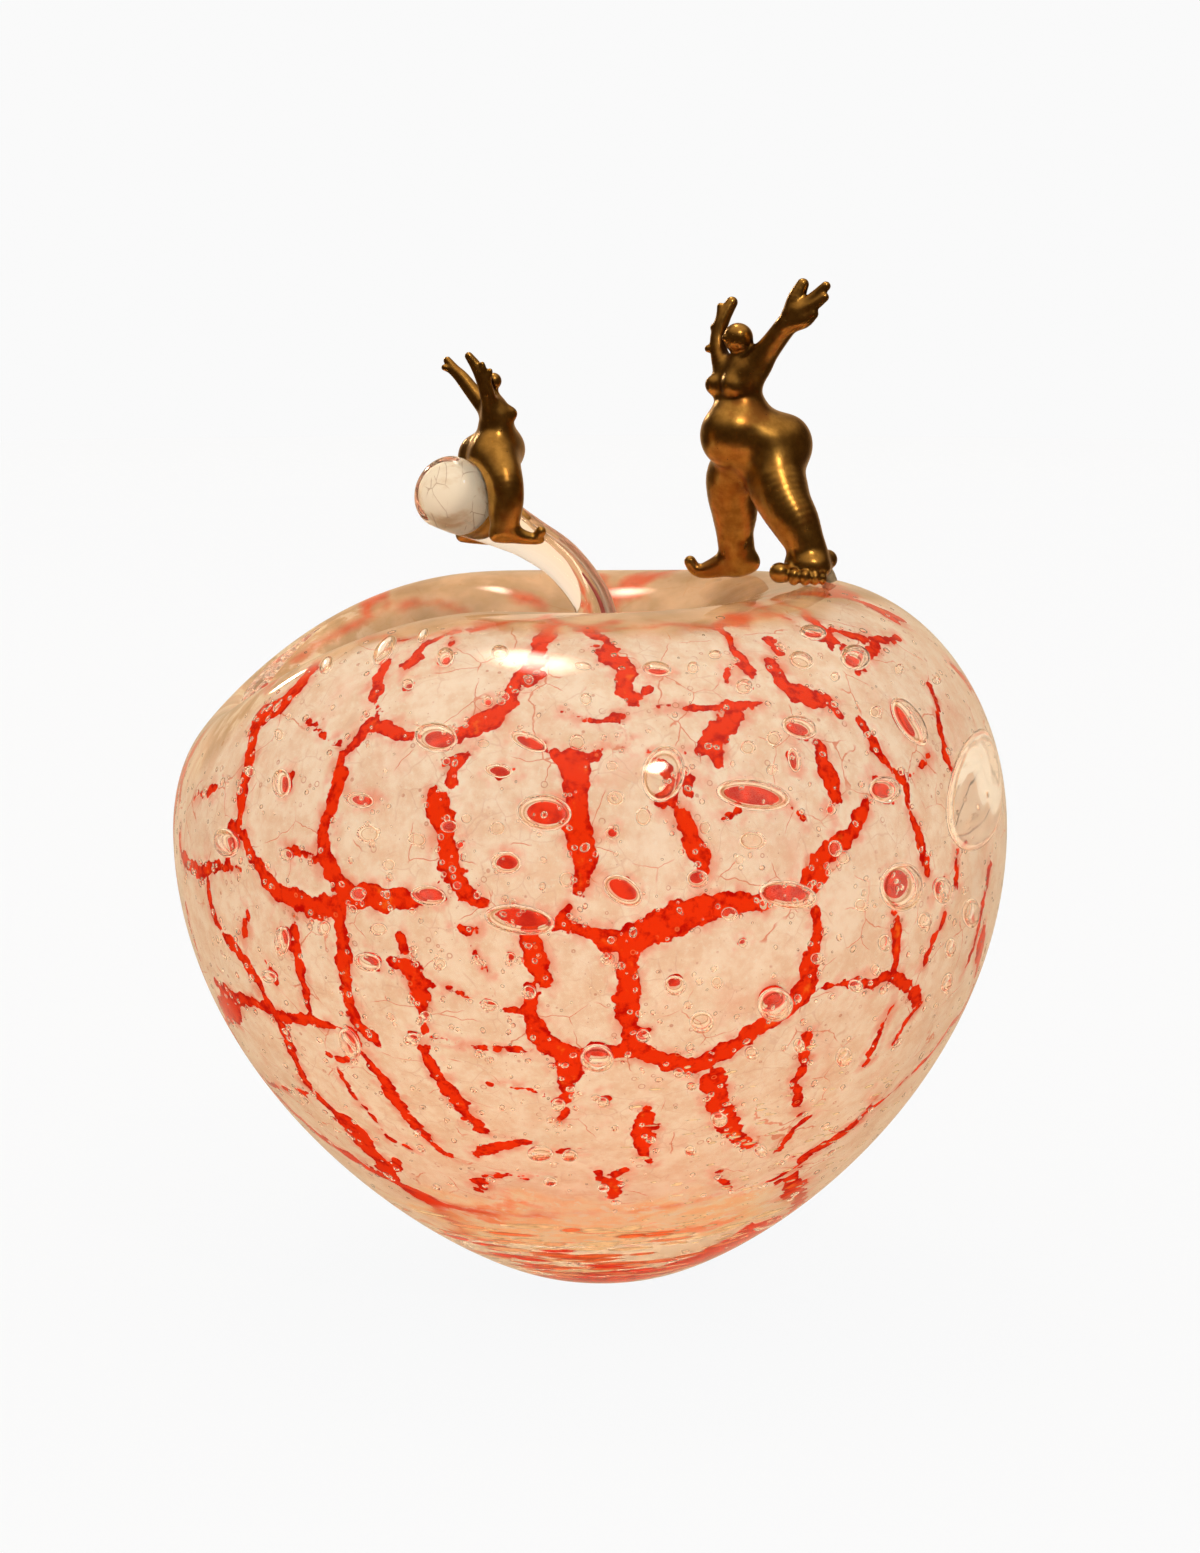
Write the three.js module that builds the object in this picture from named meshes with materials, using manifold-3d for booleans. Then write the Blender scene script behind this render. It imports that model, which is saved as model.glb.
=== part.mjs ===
// Crackle-glass apple with a glass stem and two small bronze figures.
// Millimetres, +Z up. The origin is the centre of the flat foot face,
// +X is to the right as the apple is usually shown and +Y points to its back.
import * as THREE from 'three';
import { ConvexGeometry } from 'three/addons/geometries/ConvexGeometry.js';
import ManifoldModule from 'manifold-3d';

// Driving dimensions, mm
const BELLY_RADIUS = 109;        // outside of the clear casing at its widest
const BELLY_HEIGHT = 119;        // height of the widest ring
const FOOT_RADIUS = 18;          // ground flat the apple stands on
const LOWER_ROUNDNESS = 1.52;    // exponent of the lower profile, 1 would be an ellipse
const LEAN = 3;                  // how far the foot sits to the right of the belly axis
const CREST_RADIUS_ENDS = 58;    // rim of the dimple, left and right
const CREST_RADIUS_SIDES = 45;   // rim of the dimple, front and back
const CREST_HEIGHT_ENDS = 183;
const CREST_HEIGHT_SIDES = 180.5;
const CLEFT_RADIUS = 91;         // rim where the dimple runs out over the left shoulder
const CLEFT_HEIGHT = 150;
const CLEFT_HALF_ANGLE = 29;     // degrees
const DIMPLE_FLOOR = 148;

const CASING_SIDE = 12;          // clear glass outside the white layer
const CASING_TOP = 9;
const CASING_FOOT = 38;
const WHITE_LAYER = 1.6;
const RED_LAYER = 4;
const LAYER_GAP = 0.3;           // between two layers, measured across a level wall
const TOP_GAP = 0.55;            // the same gap measured upright, for the steep dimple wall

const CRACK_WIDTH = 3.6;         // red crack between two white plates
const PLATE_CENTRE_HEIGHT = 105; // the cracks run towards this point on the belly axis

const BLOW_HOLE_RADIUS = 9.3;    // hole left by the blowing iron, closed by the stem
const STEM_ROOT_CLEARANCE = 0.3;
const STEM_ROOT_BELOW = 4;       // how far the root hangs into the hollow
const STEM_RADIUS = 5.2;         // in its slim part
const STEM_KNOB_RADIUS = 9.6;
const STEM_SWELL = 6.6;          // radius of the fillet above the root
const THREAD_RADIUS = 0.9;
const THREAD_CLEARANCE = 0.3;
const SEAT_GAP = 0.3;            // between the rider and the stem

const STANDER_X = 52.6;          // left foot of the standing figure, from the foot's centre
const STANDER_Y = -3;
const STRIDE_LEFT = 20;          // from its left foot to its right foot
const STRIDE_BACK = 28.4;
const SOLE_GAP = 0.35;           // between a sole and the glass
const HEAD_RADIUS = 3.7;
const BELLY_BALL = 7.9;
const BUTTOCK_BALL = 7;
const BREAST_BALL = 2.7;
const THIGH_RADIUS = 7.8;
const CALF_RADIUS = 6.2;
const ANKLE_RADIUS = 4.9;
const UPPER_ARM_RADIUS = 3.8;
const FOREARM_RADIUS = 2.5;
const FINGER_RADIUS = 1.5;
const FINGER_TIP_RADIUS = 1.25;
const PEG_RADIUS = 1.2;          // cast under each standing foot
const PEG_CLEARANCE = 0.3;
const PEG_DEPTH = 5;             // below the glass surface

const RIDER_ALONG_STEM = 0.8333; // share of the stem's stations, from the root, to the seat
const RIDER_HEAD_RADIUS = 2.1;
const RIDER_BELLY_BALL = 4.7;
const RIDER_BUTTOCK_BALL = 3.7;
const RIDER_THIGH_RADIUS = 4.6;
const RIDER_ANKLE_RADIUS = 3.2;
const RIDER_ARM_RADIUS = 1.7;
const RIDER_LEG_CLEARANCE = 3.8; // leg centre beyond the stem's side

const OUTER_SIDES = 36;
const OUTER_ROWS = [7, 7, 5];    // foot to belly, belly to rim, rim to dimple centre
const INNER_SIDES = 22;
const INNER_ROWS = [4, 4, 3];

const { Manifold, Mesh } = await bootManifold();
const group = new THREE.Group();
group.name = 'crackle_glass_apple';

// Looks, one for each kind of material
const CLEAR_GLASS = { color: 0xf2dcc4, roughness: 0.05, metalness: 0, transparent: true, opacity: 0.35 };
const STEM_GLASS = { color: 0xf3e3d0, roughness: 0.05, metalness: 0, transparent: true, opacity: 0.35 };
const WHITE_ENAMEL = { color: 0xe9cdb3, roughness: 0.35, metalness: 0 };
const RED_GLASS = { color: 0xd8230f, roughness: 0.2, metalness: 0 };
const BRONZE = { color: 0x8a5a1c, roughness: 0.35, metalness: 1 };
const GREY_RESIN = { color: 0x6d6450, roughness: 0.6, metalness: 0 };

// The apple surface
// A skin is a set of profile values. Station 0 is the foot edge, 1 the belly,
// 2 the rim of the dimple and 3 the dimple centre.
const OUTER_SKIN = {
  bellyRadius: BELLY_RADIUS,
  footHeight: 0,
  rimDrop: 0,
  cleftRadius: CLEFT_RADIUS,
};

function insetSkin(skin, side, top, foot) {
  return {
    bellyRadius: skin.bellyRadius - side,
    footHeight: skin.footHeight + foot,
    rimDrop: skin.rimDrop + top,
    cleftRadius: skin.cleftRadius - side,
  };
}

function rimAt(skin, azimuth) {
  const ends = Math.cos(azimuth) ** 2;
  const plainRadius = CREST_RADIUS_SIDES + (CREST_RADIUS_ENDS - CREST_RADIUS_SIDES) * ends;
  const plainHeight = CREST_HEIGHT_SIDES + (CREST_HEIGHT_ENDS - CREST_HEIGHT_SIDES) * ends;
  const fromLeft = Math.atan2(Math.sin(azimuth - Math.PI), Math.cos(azimuth - Math.PI));
  const cleft = Math.exp(-((fromLeft / THREE.MathUtils.degToRad(CLEFT_HALF_ANGLE)) ** 2));
  return {
    radius: THREE.MathUtils.lerp(plainRadius, skin.cleftRadius, cleft),
    height: THREE.MathUtils.lerp(plainHeight, CLEFT_HEIGHT, cleft) - skin.rimDrop,
  };
}

// Lower part: a rounded bowl. Shoulder: a quarter ellipse from belly to rim.
// Dimple: a quartic that leaves the rim with the shoulder's curvature and is level at the centre.
function skinPoint(skin, azimuth, station) {
  const rim = rimAt(skin, azimuth);
  const floor = DIMPLE_FLOOR - skin.rimDrop;
  let radius;
  let height;
  if (station <= 1) {
    const turn = (station * Math.PI) / 2;
    radius = FOOT_RADIUS + (skin.bellyRadius - FOOT_RADIUS) * Math.sin(turn) ** LOWER_ROUNDNESS;
    height = skin.footHeight + (BELLY_HEIGHT - skin.footHeight) * (1 - Math.cos(turn));
  } else if (station <= 2) {
    const turn = ((station - 1) * Math.PI) / 2;
    radius = rim.radius + (skin.bellyRadius - rim.radius) * Math.cos(turn);
    height = BELLY_HEIGHT + (rim.height - BELLY_HEIGHT) * Math.sin(turn);
  } else {
    const s = 3 - station;
    const drop = rim.height - floor;
    const bend = (rim.height - BELLY_HEIGHT) / (skin.bellyRadius - rim.radius) ** 2;
    const c = THREE.MathUtils.clamp(3 - (bend * rim.radius ** 2) / (2 * drop), -3, 3);
    radius = rim.radius * s;
    height = floor + drop * ((3 + c) * s ** 2 - (2 + 2 * c) * s ** 3 + c * s ** 4);
  }
  const shift = LEAN * (Math.max(1 - height / BELLY_HEIGHT, 0) ** 2 - 1);
  return new THREE.Vector3(
    radius * Math.cos(azimuth) + shift,
    radius * Math.sin(azimuth),
    height,
  );
}

// Closed apple body: rings of points from the foot edge to the dimple centre.
function appleSolid(skin, sides, rows) {
  const points = [];
  const faces = [];
  const stations = [];
  rows.forEach((count, part) => {
    for (let i = 0; i < count; i += 1) stations.push(part + i / count);
  });
  const footCentre = new THREE.Vector3(0, 0, skin.footHeight);
  footCentre.x = skinPoint(skin, 0, 0).x - FOOT_RADIUS;
  points.push(footCentre);
  stations.forEach((station) => {
    for (let k = 0; k < sides; k += 1) {
      points.push(skinPoint(skin, (2 * Math.PI * k) / sides, station));
    }
  });
  points.push(skinPoint(skin, 0, 3));
  const last = points.length - 1;
  const ringStart = (ring) => 1 + ring * sides;
  for (let k = 0; k < sides; k += 1) {
    const next = (k + 1) % sides;
    faces.push([0, ringStart(0) + next, ringStart(0) + k]);
    for (let ring = 0; ring + 1 < stations.length; ring += 1) {
      const a = ringStart(ring) + k;
      const b = ringStart(ring) + next;
      const c = ringStart(ring + 1) + next;
      const d = ringStart(ring + 1) + k;
      faces.push([a, b, c], [a, c, d]);
    }
    const top = ringStart(stations.length - 1);
    faces.push([top + k, top + next, last]);
  }
  return solidFrom(points, faces);
}

// Layers of the blown body
const casingInside = insetSkin(OUTER_SKIN, CASING_SIDE, CASING_TOP, CASING_FOOT);
const whiteOutside = insetSkin(casingInside, LAYER_GAP, TOP_GAP, LAYER_GAP);
const whiteInside = insetSkin(whiteOutside, WHITE_LAYER, WHITE_LAYER, WHITE_LAYER);
const redOutside = insetSkin(whiteInside, LAYER_GAP, TOP_GAP, LAYER_GAP);
const redInside = insetSkin(redOutside, RED_LAYER, RED_LAYER, RED_LAYER);

const bellyAxisX = skinPoint(OUTER_SKIN, 0, 3).x;
const blowHole = tube(
  [[bellyAxisX, 0, 100, BLOW_HOLE_RADIUS], [bellyAxisX, 0, 200, BLOW_HOLE_RADIUS]],
  { sides: 20, flat: true },
);

// Height of the outside of the casing above a point of the plan.
function glassHeight(x, y) {
  const azimuth = Math.atan2(y, x + LEAN);
  const radius = Math.hypot(x + LEAN, y);
  const rim = rimAt(OUTER_SKIN, azimuth);
  if (radius <= rim.radius) return skinPoint(OUTER_SKIN, azimuth, 3 - radius / rim.radius).z;
  const turn = Math.acos((radius - rim.radius) / (BELLY_RADIUS - rim.radius));
  return skinPoint(OUTER_SKIN, azimuth, 1 + (turn * 2) / Math.PI).z;
}

// Lowest level at which a round base of this radius clears the glass.
function restHeight(x, y, radius) {
  const levels = [glassHeight(x, y)];
  for (let k = 0; k < 12; k += 1) {
    const turn = (k * Math.PI) / 6;
    levels.push(glassHeight(x + radius * Math.cos(turn), y + radius * Math.sin(turn)));
  }
  return Math.max(...levels);
}

// Bronze figure that stands on the rim
// Each limb is a list of stations: x, y, z and the radius there, from its left foot's peg.
// It faces left and a little to the front, so its left side is the near one.
const STANDER_SIDE = new THREE.Vector3(0.49, -0.87, 0);
const STANDER_BACK = new THREE.Vector3(0.87, 0.49, 0);
const leftPeg = [STANDER_X, STANDER_Y, glassHeight(STANDER_X, STANDER_Y)];
const rightPegX = STANDER_X - STRIDE_LEFT;
const rightPegY = STANDER_Y + STRIDE_BACK;
const rightPeg = [rightPegX, rightPegY, glassHeight(rightPegX, rightPegY)];

const onLeftFoot = (stations) => shifted(stations, leftPeg, SOLE_GAP);
const onRightFoot = (stations) => shifted(stations, rightPeg, SOLE_GAP);

const [hip] = onLeftFoot([[-14.2, 19.5, 31]]);
const [rightAnkle] = onRightFoot([[2.8, -0.8, 12.6]]);
const rightLeg = [
  [...hip, THIGH_RADIUS - 0.8],
  [...between(hip, rightAnkle, 0.22, [-3.1, -0.8, 0]), THIGH_RADIUS - 1],
  [...between(hip, rightAnkle, 0.46, [-2.7, -0.4, 0]), CALF_RADIUS + 0.3],
  [...between(hip, rightAnkle, 0.72, [-1, 0, 0]), CALF_RADIUS - 0.1],
  [...rightAnkle, ANKLE_RADIUS],
  ...onRightFoot([[3.3, -0.4, 8, ANKLE_RADIUS - 0.3]]),
];

const standerParts = [
  bodyLoft([
    { at: [-11.1, 16.5, 27.7], wide: 8.5, deep: 6.5 },
    { at: [-10.1, 16.2, 31.7], wide: 10.8, deep: 9.4 },
    { at: [-10.8, 15.8, 35.7], wide: 11, deep: 10.6 },
    { at: [-12.4, 15.7, 39.7], wide: 10.2, deep: 9.8 },
    { at: [-15, 16, 43.7], wide: 8.8, deep: 7.6 },
    { at: [-16.6, 16.3, 47.2], wide: 8, deep: 6.4 },
    { at: [-17, 16, 50.7], wide: 7.6, deep: 5.6 },
    { at: [-16.8, 15.6, 54.2], wide: 7.4, deep: 4.6 },
    { at: [-16.6, 15.2, 57.2], wide: 5, deep: 3.2 },
  ].map((ring) => ({ ...ring, at: onLeftFoot([ring.at])[0] })), STANDER_SIDE, STANDER_BACK, 10),
  ball(onLeftFoot([[-19.2, 11.9, 37.1]])[0], BELLY_BALL, 9),
  ball(onLeftFoot([[-4.2, 15, 34.6]])[0], BUTTOCK_BALL, 8),
  ball(onLeftFoot([[-8.5, 23.2, 34.6]])[0], BUTTOCK_BALL, 8),
  ball(onLeftFoot([[-18.8, 10.6, 51]])[0], BREAST_BALL, 6),
  ball(onLeftFoot([[-22.9, 15.6, 50.4]])[0], BREAST_BALL, 6),
  tube(onLeftFoot([[-16.5, 15, 55.7, 2.1], [-16.7, 14.5, 59.7, 2.1]]), { sides: 8 }),
  ball(onLeftFoot([[-17, 14, 62.3]])[0], HEAD_RADIUS, 8),
  tube(onLeftFoot([[-18.6, 13.3, 62.7, 1.5], [-20.5, 12.4, 63, 0.6]]), { sides: 5 }),
  // left arm and hand
  tube(onLeftFoot([
    [-14.6, 13.5, 53.7, UPPER_ARM_RADIUS + 0.8],
    [-11.2, 11.6, 56.5, UPPER_ARM_RADIUS],
    [-7.7, 9, 62.1, FOREARM_RADIUS + 0.4],
    [-4.7, 7, 66.3, FOREARM_RADIUS + 0.1],
    [-0.9, 6, 68.9, FOREARM_RADIUS + 0.2],
  ]), { sides: 7 }),
  finger([-2.6, 6.5, 69.9], [-1.7, 6.8, 74.2], [-0.4, 7, 77.2], FINGER_TIP_RADIUS + 0.1),
  finger([-1.6, 5.6, 71.1], [2.2, 4.8, 73.9], [5.5, 4, 76.8], FINGER_TIP_RADIUS - 0.1),
  finger([-1.2, 5, 70.5], [2.6, 3.8, 72.1], [5.1, 3, 73.9], FINGER_TIP_RADIUS - 0.1),
  finger([-2.4, 5.2, 67.6], [-0.4, 4.2, 68], [1.6, 3.2, 68.8], FINGER_TIP_RADIUS),
  // right arm and hand
  tube(onLeftFoot([
    [-19.2, 17, 53.1, UPPER_ARM_RADIUS - 0.6],
    [-21.7, 19, 57.1, FOREARM_RADIUS - 0.3],
    [-22.1, 21, 61.3, FOREARM_RADIUS - 0.6],
    [-20.8, 22, 66.3, FOREARM_RADIUS - 0.4],
    [-18.2, 23, 71.5, FOREARM_RADIUS - 1.05],
  ]), { sides: 7 }),
  finger([-22.2, 20.8, 60.3], [-23.4, 20.4, 59.8], [-24.7, 20, 59.2], FINGER_TIP_RADIUS - 0.35),
  finger([-21.6, 21.6, 63.1], [-22.4, 21.8, 63.8], [-23.4, 22, 64.5], FINGER_TIP_RADIUS - 0.35),
  finger([-20.6, 22.2, 66.7], [-21.1, 22.6, 68.2], [-21.6, 23, 69.7], FINGER_TIP_RADIUS - 0.35),
  // left leg, its foot turned to the front
  tube(onLeftFoot([
    [-8, 12.5, 32.2, THIGH_RADIUS - 0.2],
    [-7.2, 9, 25.7, THIGH_RADIUS],
    [-5, 5.4, 20.3, CALF_RADIUS + 0.8],
    [-2.4, 3, 15.7, CALF_RADIUS],
    [0, 1.2, 10.5, ANKLE_RADIUS],
    [1, 1, 6.7, ANKLE_RADIUS],
  ]), { sides: 7 }),
  footPad(onLeftFoot([[0.2, -0.4, 3.3]])[0]),
  ball(onLeftFoot([[5.4, 4.2, 5.3]])[0], 3, 8),
  tube(onLeftFoot([[-3.4, -2.6, 2.8, 2.2], [-6.4, -4.1, 2.6, 2.3]]), { sides: 8 }),
  ...[[-3.3, -5.6, 1.6, 1.5], [-1, -6, 1.4, 1.3],
    [1.2, -5.8, 1.35, 1.25], [3.3, -5, 1.25, 1.15],
  ].map(([x, y, z, r]) => ball(onLeftFoot([[x, y, z]])[0], r, 6)),
  // right leg, its foot pointing left with the big toe turned up
  tube(rightLeg, { sides: 8 }),
  tube(onRightFoot([
    [6.8, -0.4, 4.6, 2.9],
    [1.4, 0, 4.2, 3.5],
    [-3, 0.4, 2.5, 2.8],
    [-5.8, 0.6, 1.6, 2.2],
    [-8.6, 0.6, 3.4, 1.7],
  ]), { sides: 8 }),
  ball(onRightFoot([[-4.4, 3, 1.3]])[0], 1.5, 6),
  ball(onRightFoot([[-2.6, 4.4, 1.5]])[0], 1.35, 6),
  // pegs into the glass
  peg(leftPeg, PEG_RADIUS, 4),
  peg(rightPeg, PEG_RADIUS, 4),
];
const standingFigure = join(standerParts);

// Clear stem
// Stations of the stem's centre line with its radius: root, floor of the dimple, bend, knob.
// They are measured from the dimple floor on the belly axis.
const rootRadius = BLOW_HOLE_RADIUS - STEM_ROOT_CLEARANCE;
const bodyThickness = CASING_TOP + WHITE_LAYER + RED_LAYER + 2 * TOP_GAP;
const swell = (share) => STEM_RADIUS + (STEM_KNOB_RADIUS - STEM_RADIUS) * share;
const stemStations = [
  [0, 0, -bodyThickness - STEM_ROOT_BELOW, rootRadius],
  [0, 0, -2, rootRadius],
  [0.2, 0, 4, rootRadius - 0.3],
  [0.8, 0, 10, STEM_SWELL],
  [1.8, 0, 17, swell(0.07)],
  [2.1, 0, 24, swell(0.02)],
  [-0.4, -0.2, 32, swell(0)],
  [-7.4, -0.9, 41, swell(0.02)],
  [-15.5, -3, 46.9, swell(0.06)],
  [-21.2, -5.4, 50.4, swell(0.26)],
  [-26.8, -8.6, 54, swell(0.58)],
  [-32.4, -12.8, 57.7, swell(0.9)],
  [-36.5, -17.4, 60.5, STEM_KNOB_RADIUS],
];
const stemPath = shifted(stemStations, [bellyAxisX, 0, DIMPLE_FLOOR], 0);
const stemShape = { sides: 12, flatStart: true, domed: 0.62 };
const stemSeat = tube(stemPath.map(([x, y, z, r]) => [x, y, z, r + SEAT_GAP]), stemShape);
const longThreadPath = threadPath(-2.4, 0.4, -1.2, 11);
const shortThreadPath = threadPath(2.4, 2.3, 1.6, 8);
const stemRod = tube(stemPath, stemShape)
  .subtract(channel(longThreadPath))
  .subtract(channel(shortThreadPath));

// Bronze figure that rides the stem
// It faces down the stem, to the right and a little to the back. Its stations are measured
// from the stem's centre under the seat: forwards, to the far side, up, and the radius.
const RIDER_FRONT = new THREE.Vector3(0.937, 0.35, 0);
const RIDER_FAR = new THREE.Vector3(-0.35, 0.937, 0);
const seat = pointAlong(stemPath, RIDER_ALONG_STEM);
const legSide = seat[3] + RIDER_LEG_CLEARANCE;

function onSeat(stations) {
  return stations.map(([front, far, up, ...rest]) => {
    const at = new THREE.Vector3(seat[0], seat[1], seat[2] + up)
      .addScaledVector(RIDER_FRONT, front)
      .addScaledVector(RIDER_FAR, far);
    return [at.x, at.y, at.z, ...rest];
  });
}

const riderParts = [
  bodyLoft([
    { at: [0.8, 0, 6], wide: 6.4, deep: 4.8 },
    { at: [0.9, 0.1, 10.5], wide: 8.2, deep: 5.6 },
    { at: [1.1, 0, 15], wide: 8, deep: 6.2 },
    { at: [1.8, -0.4, 18.6], wide: 6.8, deep: 5.6 },
    { at: [2.2, -1, 22], wide: 5.9, deep: 4.8 },
    { at: [2.6, -1.2, 26], wide: 5.6, deep: 4.3 },
    { at: [1.7, -0.6, 29.6], wide: 4.6, deep: 3.1 },
    { at: [1.4, -0.3, 31.6], wide: 2.4, deep: 1.9 },
  ].map((ring) => ({ ...ring, at: onSeat([ring.at])[0] })), RIDER_FAR, RIDER_FRONT, 10),
  ball(onSeat([[6.1, 0.2, 16.4]])[0], RIDER_BELLY_BALL, 8),
  ball(onSeat([[-3.7, -3.6, 14.6]])[0], RIDER_BUTTOCK_BALL, 7),
  ball(onSeat([[-3.8, 4.2, 15]])[0], RIDER_BUTTOCK_BALL, 7),
  ball(onSeat([[5, -3.8, 26.2]])[0], 1.5, 6),
  ball(onSeat([[5.2, 1.5, 26.2]])[0], 1.5, 6),
  ball(onSeat([[1.7, -0.8, 33.7]])[0], RIDER_HEAD_RADIUS, 7),
  tube(onSeat([[1.5, -0.5, 30.5, 1.4], [1.9, -0.6, 33, 1.2]]), { sides: 6 }),
  // near arm and hand
  tube(onSeat([
    [0.2, -3.5, 27.6, RIDER_ARM_RADIUS + 0.6],
    [-1, -4.1, 31, RIDER_ARM_RADIUS],
    [-1.9, -4, 34.6, RIDER_ARM_RADIUS - 0.1],
    [-3.4, -3.4, 37.6, RIDER_ARM_RADIUS - 0.4],
    [-5.5, -2.7, 40.6, 0.9],
  ]), { sides: 6 }),
  tube(onSeat([[-1.8, -4.2, 34.4, 1.2], [-0.6, -5.1, 36.6, 0.8]]), { sides: 6 }),
  tube(onSeat([[-2, -4.2, 35.6, 1.2], [-2.4, -4.7, 38.4, 0.8]]), { sides: 6 }),
  // far arm and hand
  tube(onSeat([
    [1.8, 2.5, 27, RIDER_ARM_RADIUS + 0.7],
    [-0.5, 5.1, 29.4, RIDER_ARM_RADIUS + 0.2],
    [-2.9, 8.1, 33.3, RIDER_ARM_RADIUS],
    [-4.8, 10.1, 36.2, RIDER_ARM_RADIUS - 0.3],
    [-6.4, 11.6, 38.6, 0.9],
  ]), { sides: 6 }),
  tube(onSeat([[-4.5, 9.8, 35.4, 1.2], [-7.5, 10.9, 36.8, 0.8]]), { sides: 6 }),
  // near leg and foot
  tube(onSeat([
    [0.6, -5.3, 12, RIDER_THIGH_RADIUS + 0.4],
    [1.2, -legSide + 2.2, 9.8, RIDER_THIGH_RADIUS + 0.1],
    [1.3, -legSide, 6, RIDER_THIGH_RADIUS - 0.1],
    [1, -legSide - 0.1, 2, RIDER_THIGH_RADIUS - 0.4],
    [1, -legSide - 0.1, -2.5, RIDER_ANKLE_RADIUS],
  ]), { sides: 8 }),
  tube(onSeat([
    [-1.1, -legSide + 0.6, -3.8, 2],
    [3.2, -legSide - 0.7, -4, 2.4],
    [7, -legSide - 1.7, -5, 1.9],
    [9.4, -legSide - 2.4, -5.4, 1.4],
  ]), { sides: 6 }),
  tube(onSeat([
    [8.2, -legSide - 2.6, -4.8, 1.2],
    [9.7, -legSide - 3.2, -3.4, 1.1],
  ]), { sides: 6 }),
  // far leg and foot
  tube(onSeat([
    [0.3, 5.4, 12, RIDER_THIGH_RADIUS + 0.4],
    [0.2, legSide - 1.2, 9.4, RIDER_THIGH_RADIUS + 0.1],
    [0.4, legSide + 1.1, 5, RIDER_THIGH_RADIUS - 0.1],
    [0.5, legSide + 1.3, 0.6, RIDER_THIGH_RADIUS - 0.4],
    [0.5, legSide + 1.3, -4.9, RIDER_ANKLE_RADIUS],
  ]), { sides: 8 }),
  tube(onSeat([
    [-1.7, legSide + 1.7, -6.8, 2],
    [2.6, legSide + 1.3, -7, 2.4],
    [6.7, legSide + 0.9, -7.9, 1.9],
    [9.2, legSide + 0.6, -8.3, 1.4],
  ]), { sides: 6 }),
];
const ridingFigure = join(riderParts).subtract(stemSeat);

// Small grey prop behind the lifted heel
const propTop = leftPeg[2] + SOLE_GAP + 1.7;
const [propX, propY] = [STANDER_X + 7, STANDER_Y + 6.4];
const heelProp = tube([
  [propX, propY, restHeight(propX, propY, 1.9) + SOLE_GAP, 1.9],
  [propX - 0.4, propY - 0.4, propTop - 0.7, 1.5],
  [propX - 0.8, propY - 1, propTop, 1.1],
], { sides: 10, flat: true });

// Clear casing
const casing = appleSolid(OUTER_SKIN, OUTER_SIDES, OUTER_ROWS)
  .subtract(appleSolid(casingInside, INNER_SIDES, INNER_ROWS))
  .subtract(blowHole)
  .subtract(peg(leftPeg, PEG_RADIUS + PEG_CLEARANCE, 4))
  .subtract(peg(rightPeg, PEG_RADIUS + PEG_CLEARANCE, 4));

const redBubble = appleSolid(redOutside, INNER_SIDES, INNER_ROWS)
  .subtract(appleSolid(redInside, INNER_SIDES, INNER_ROWS))
  .subtract(blowHole);

const whiteShell = appleSolid(whiteOutside, INNER_SIDES, INNER_ROWS)
  .subtract(appleSolid(whiteInside, INNER_SIDES, INNER_ROWS))
  .subtract(blowHole);

// Cracked white plates
// One point per plate: azimuth in degrees from +X, and station on the profile.
// The front ones follow the plates that can be seen; the rest continue the pattern.
const PLATE_POINTS = [
  // round the dimple
  [30, 2.25], [130, 2.25], [215, 2.3], [300, 2.25],
  // shoulder
  [222, 1.54], [246, 1.57], [268, 1.54], [289, 1.65], [312, 1.58], [328, 1.45],
  [20, 1.5], [90, 1.5], [155, 1.42],
  // upper belly
  [208, 1.13], [224, 1.23], [242, 1.22], [259, 1.21], [276, 1.21], [293, 1.21],
  [310, 1.15], [328, 0.99], [358, 1.05], [42, 1.1], [92, 1.12], [145, 1.08],
  // lower belly
  [198, 0.87], [224, 0.9], [242, 0.9], [254, 0.91], [268, 0.89], [286, 0.9],
  [308, 0.92], [330, 0.8], [20, 0.84], [70, 0.82], [118, 0.84], [165, 0.86],
  // towards the foot
  [204, 0.72], [226, 0.66], [243, 0.7], [257, 0.7], [274, 0.68], [296, 0.71],
  [315, 0.7], [10, 0.56], [90, 0.56], [150, 0.54], [246, 0.52], [290, 0.5],
  // over the foot
  [0, 0],
];
const plateCentre = new THREE.Vector3(bellyAxisX, 0, PLATE_CENTRE_HEIGHT);
const plateRays = PLATE_POINTS.map(([degrees, station]) => {
  const azimuth = THREE.MathUtils.degToRad(degrees);
  return skinPoint(OUTER_SKIN, azimuth, station).sub(plateCentre).normalize();
});

// The region nearer to one ray than to all others, pulled back by half a crack:
// an open pyramid with its tip at the plate centre, cut level at two distances.
function plateWedge(index) {
  const ray = plateRays[index];
  const sideways = new THREE.Vector3(0, 0, 1).cross(ray);
  if (sideways.length() < 1e-6) sideways.set(1, 0, 0);
  sideways.normalize();
  const upwards = ray.clone().cross(sideways);
  const corners = [];
  [22, 190].forEach((distance) => {
    const reach = distance * 1.5;
    let polygon = [[-reach, -reach], [reach, -reach], [reach, reach], [-reach, reach]];
    plateRays.forEach((other, k) => {
      if (k === index) return;
      const normal = ray.clone().sub(other).normalize();
      const a = normal.dot(sideways);
      const b = normal.dot(upwards);
      const c = normal.dot(ray) * distance - CRACK_WIDTH / 2;
      polygon = clipPolygon(polygon, a, b, c);
    });
    polygon.forEach(([u, v]) => {
      corners.push(
        ray.clone().multiplyScalar(distance)
          .addScaledVector(sideways, u)
          .addScaledVector(upwards, v)
          .add(plateCentre),
      );
    });
  });
  return solidFromGeometry(new ConvexGeometry(corners));
}

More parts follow.
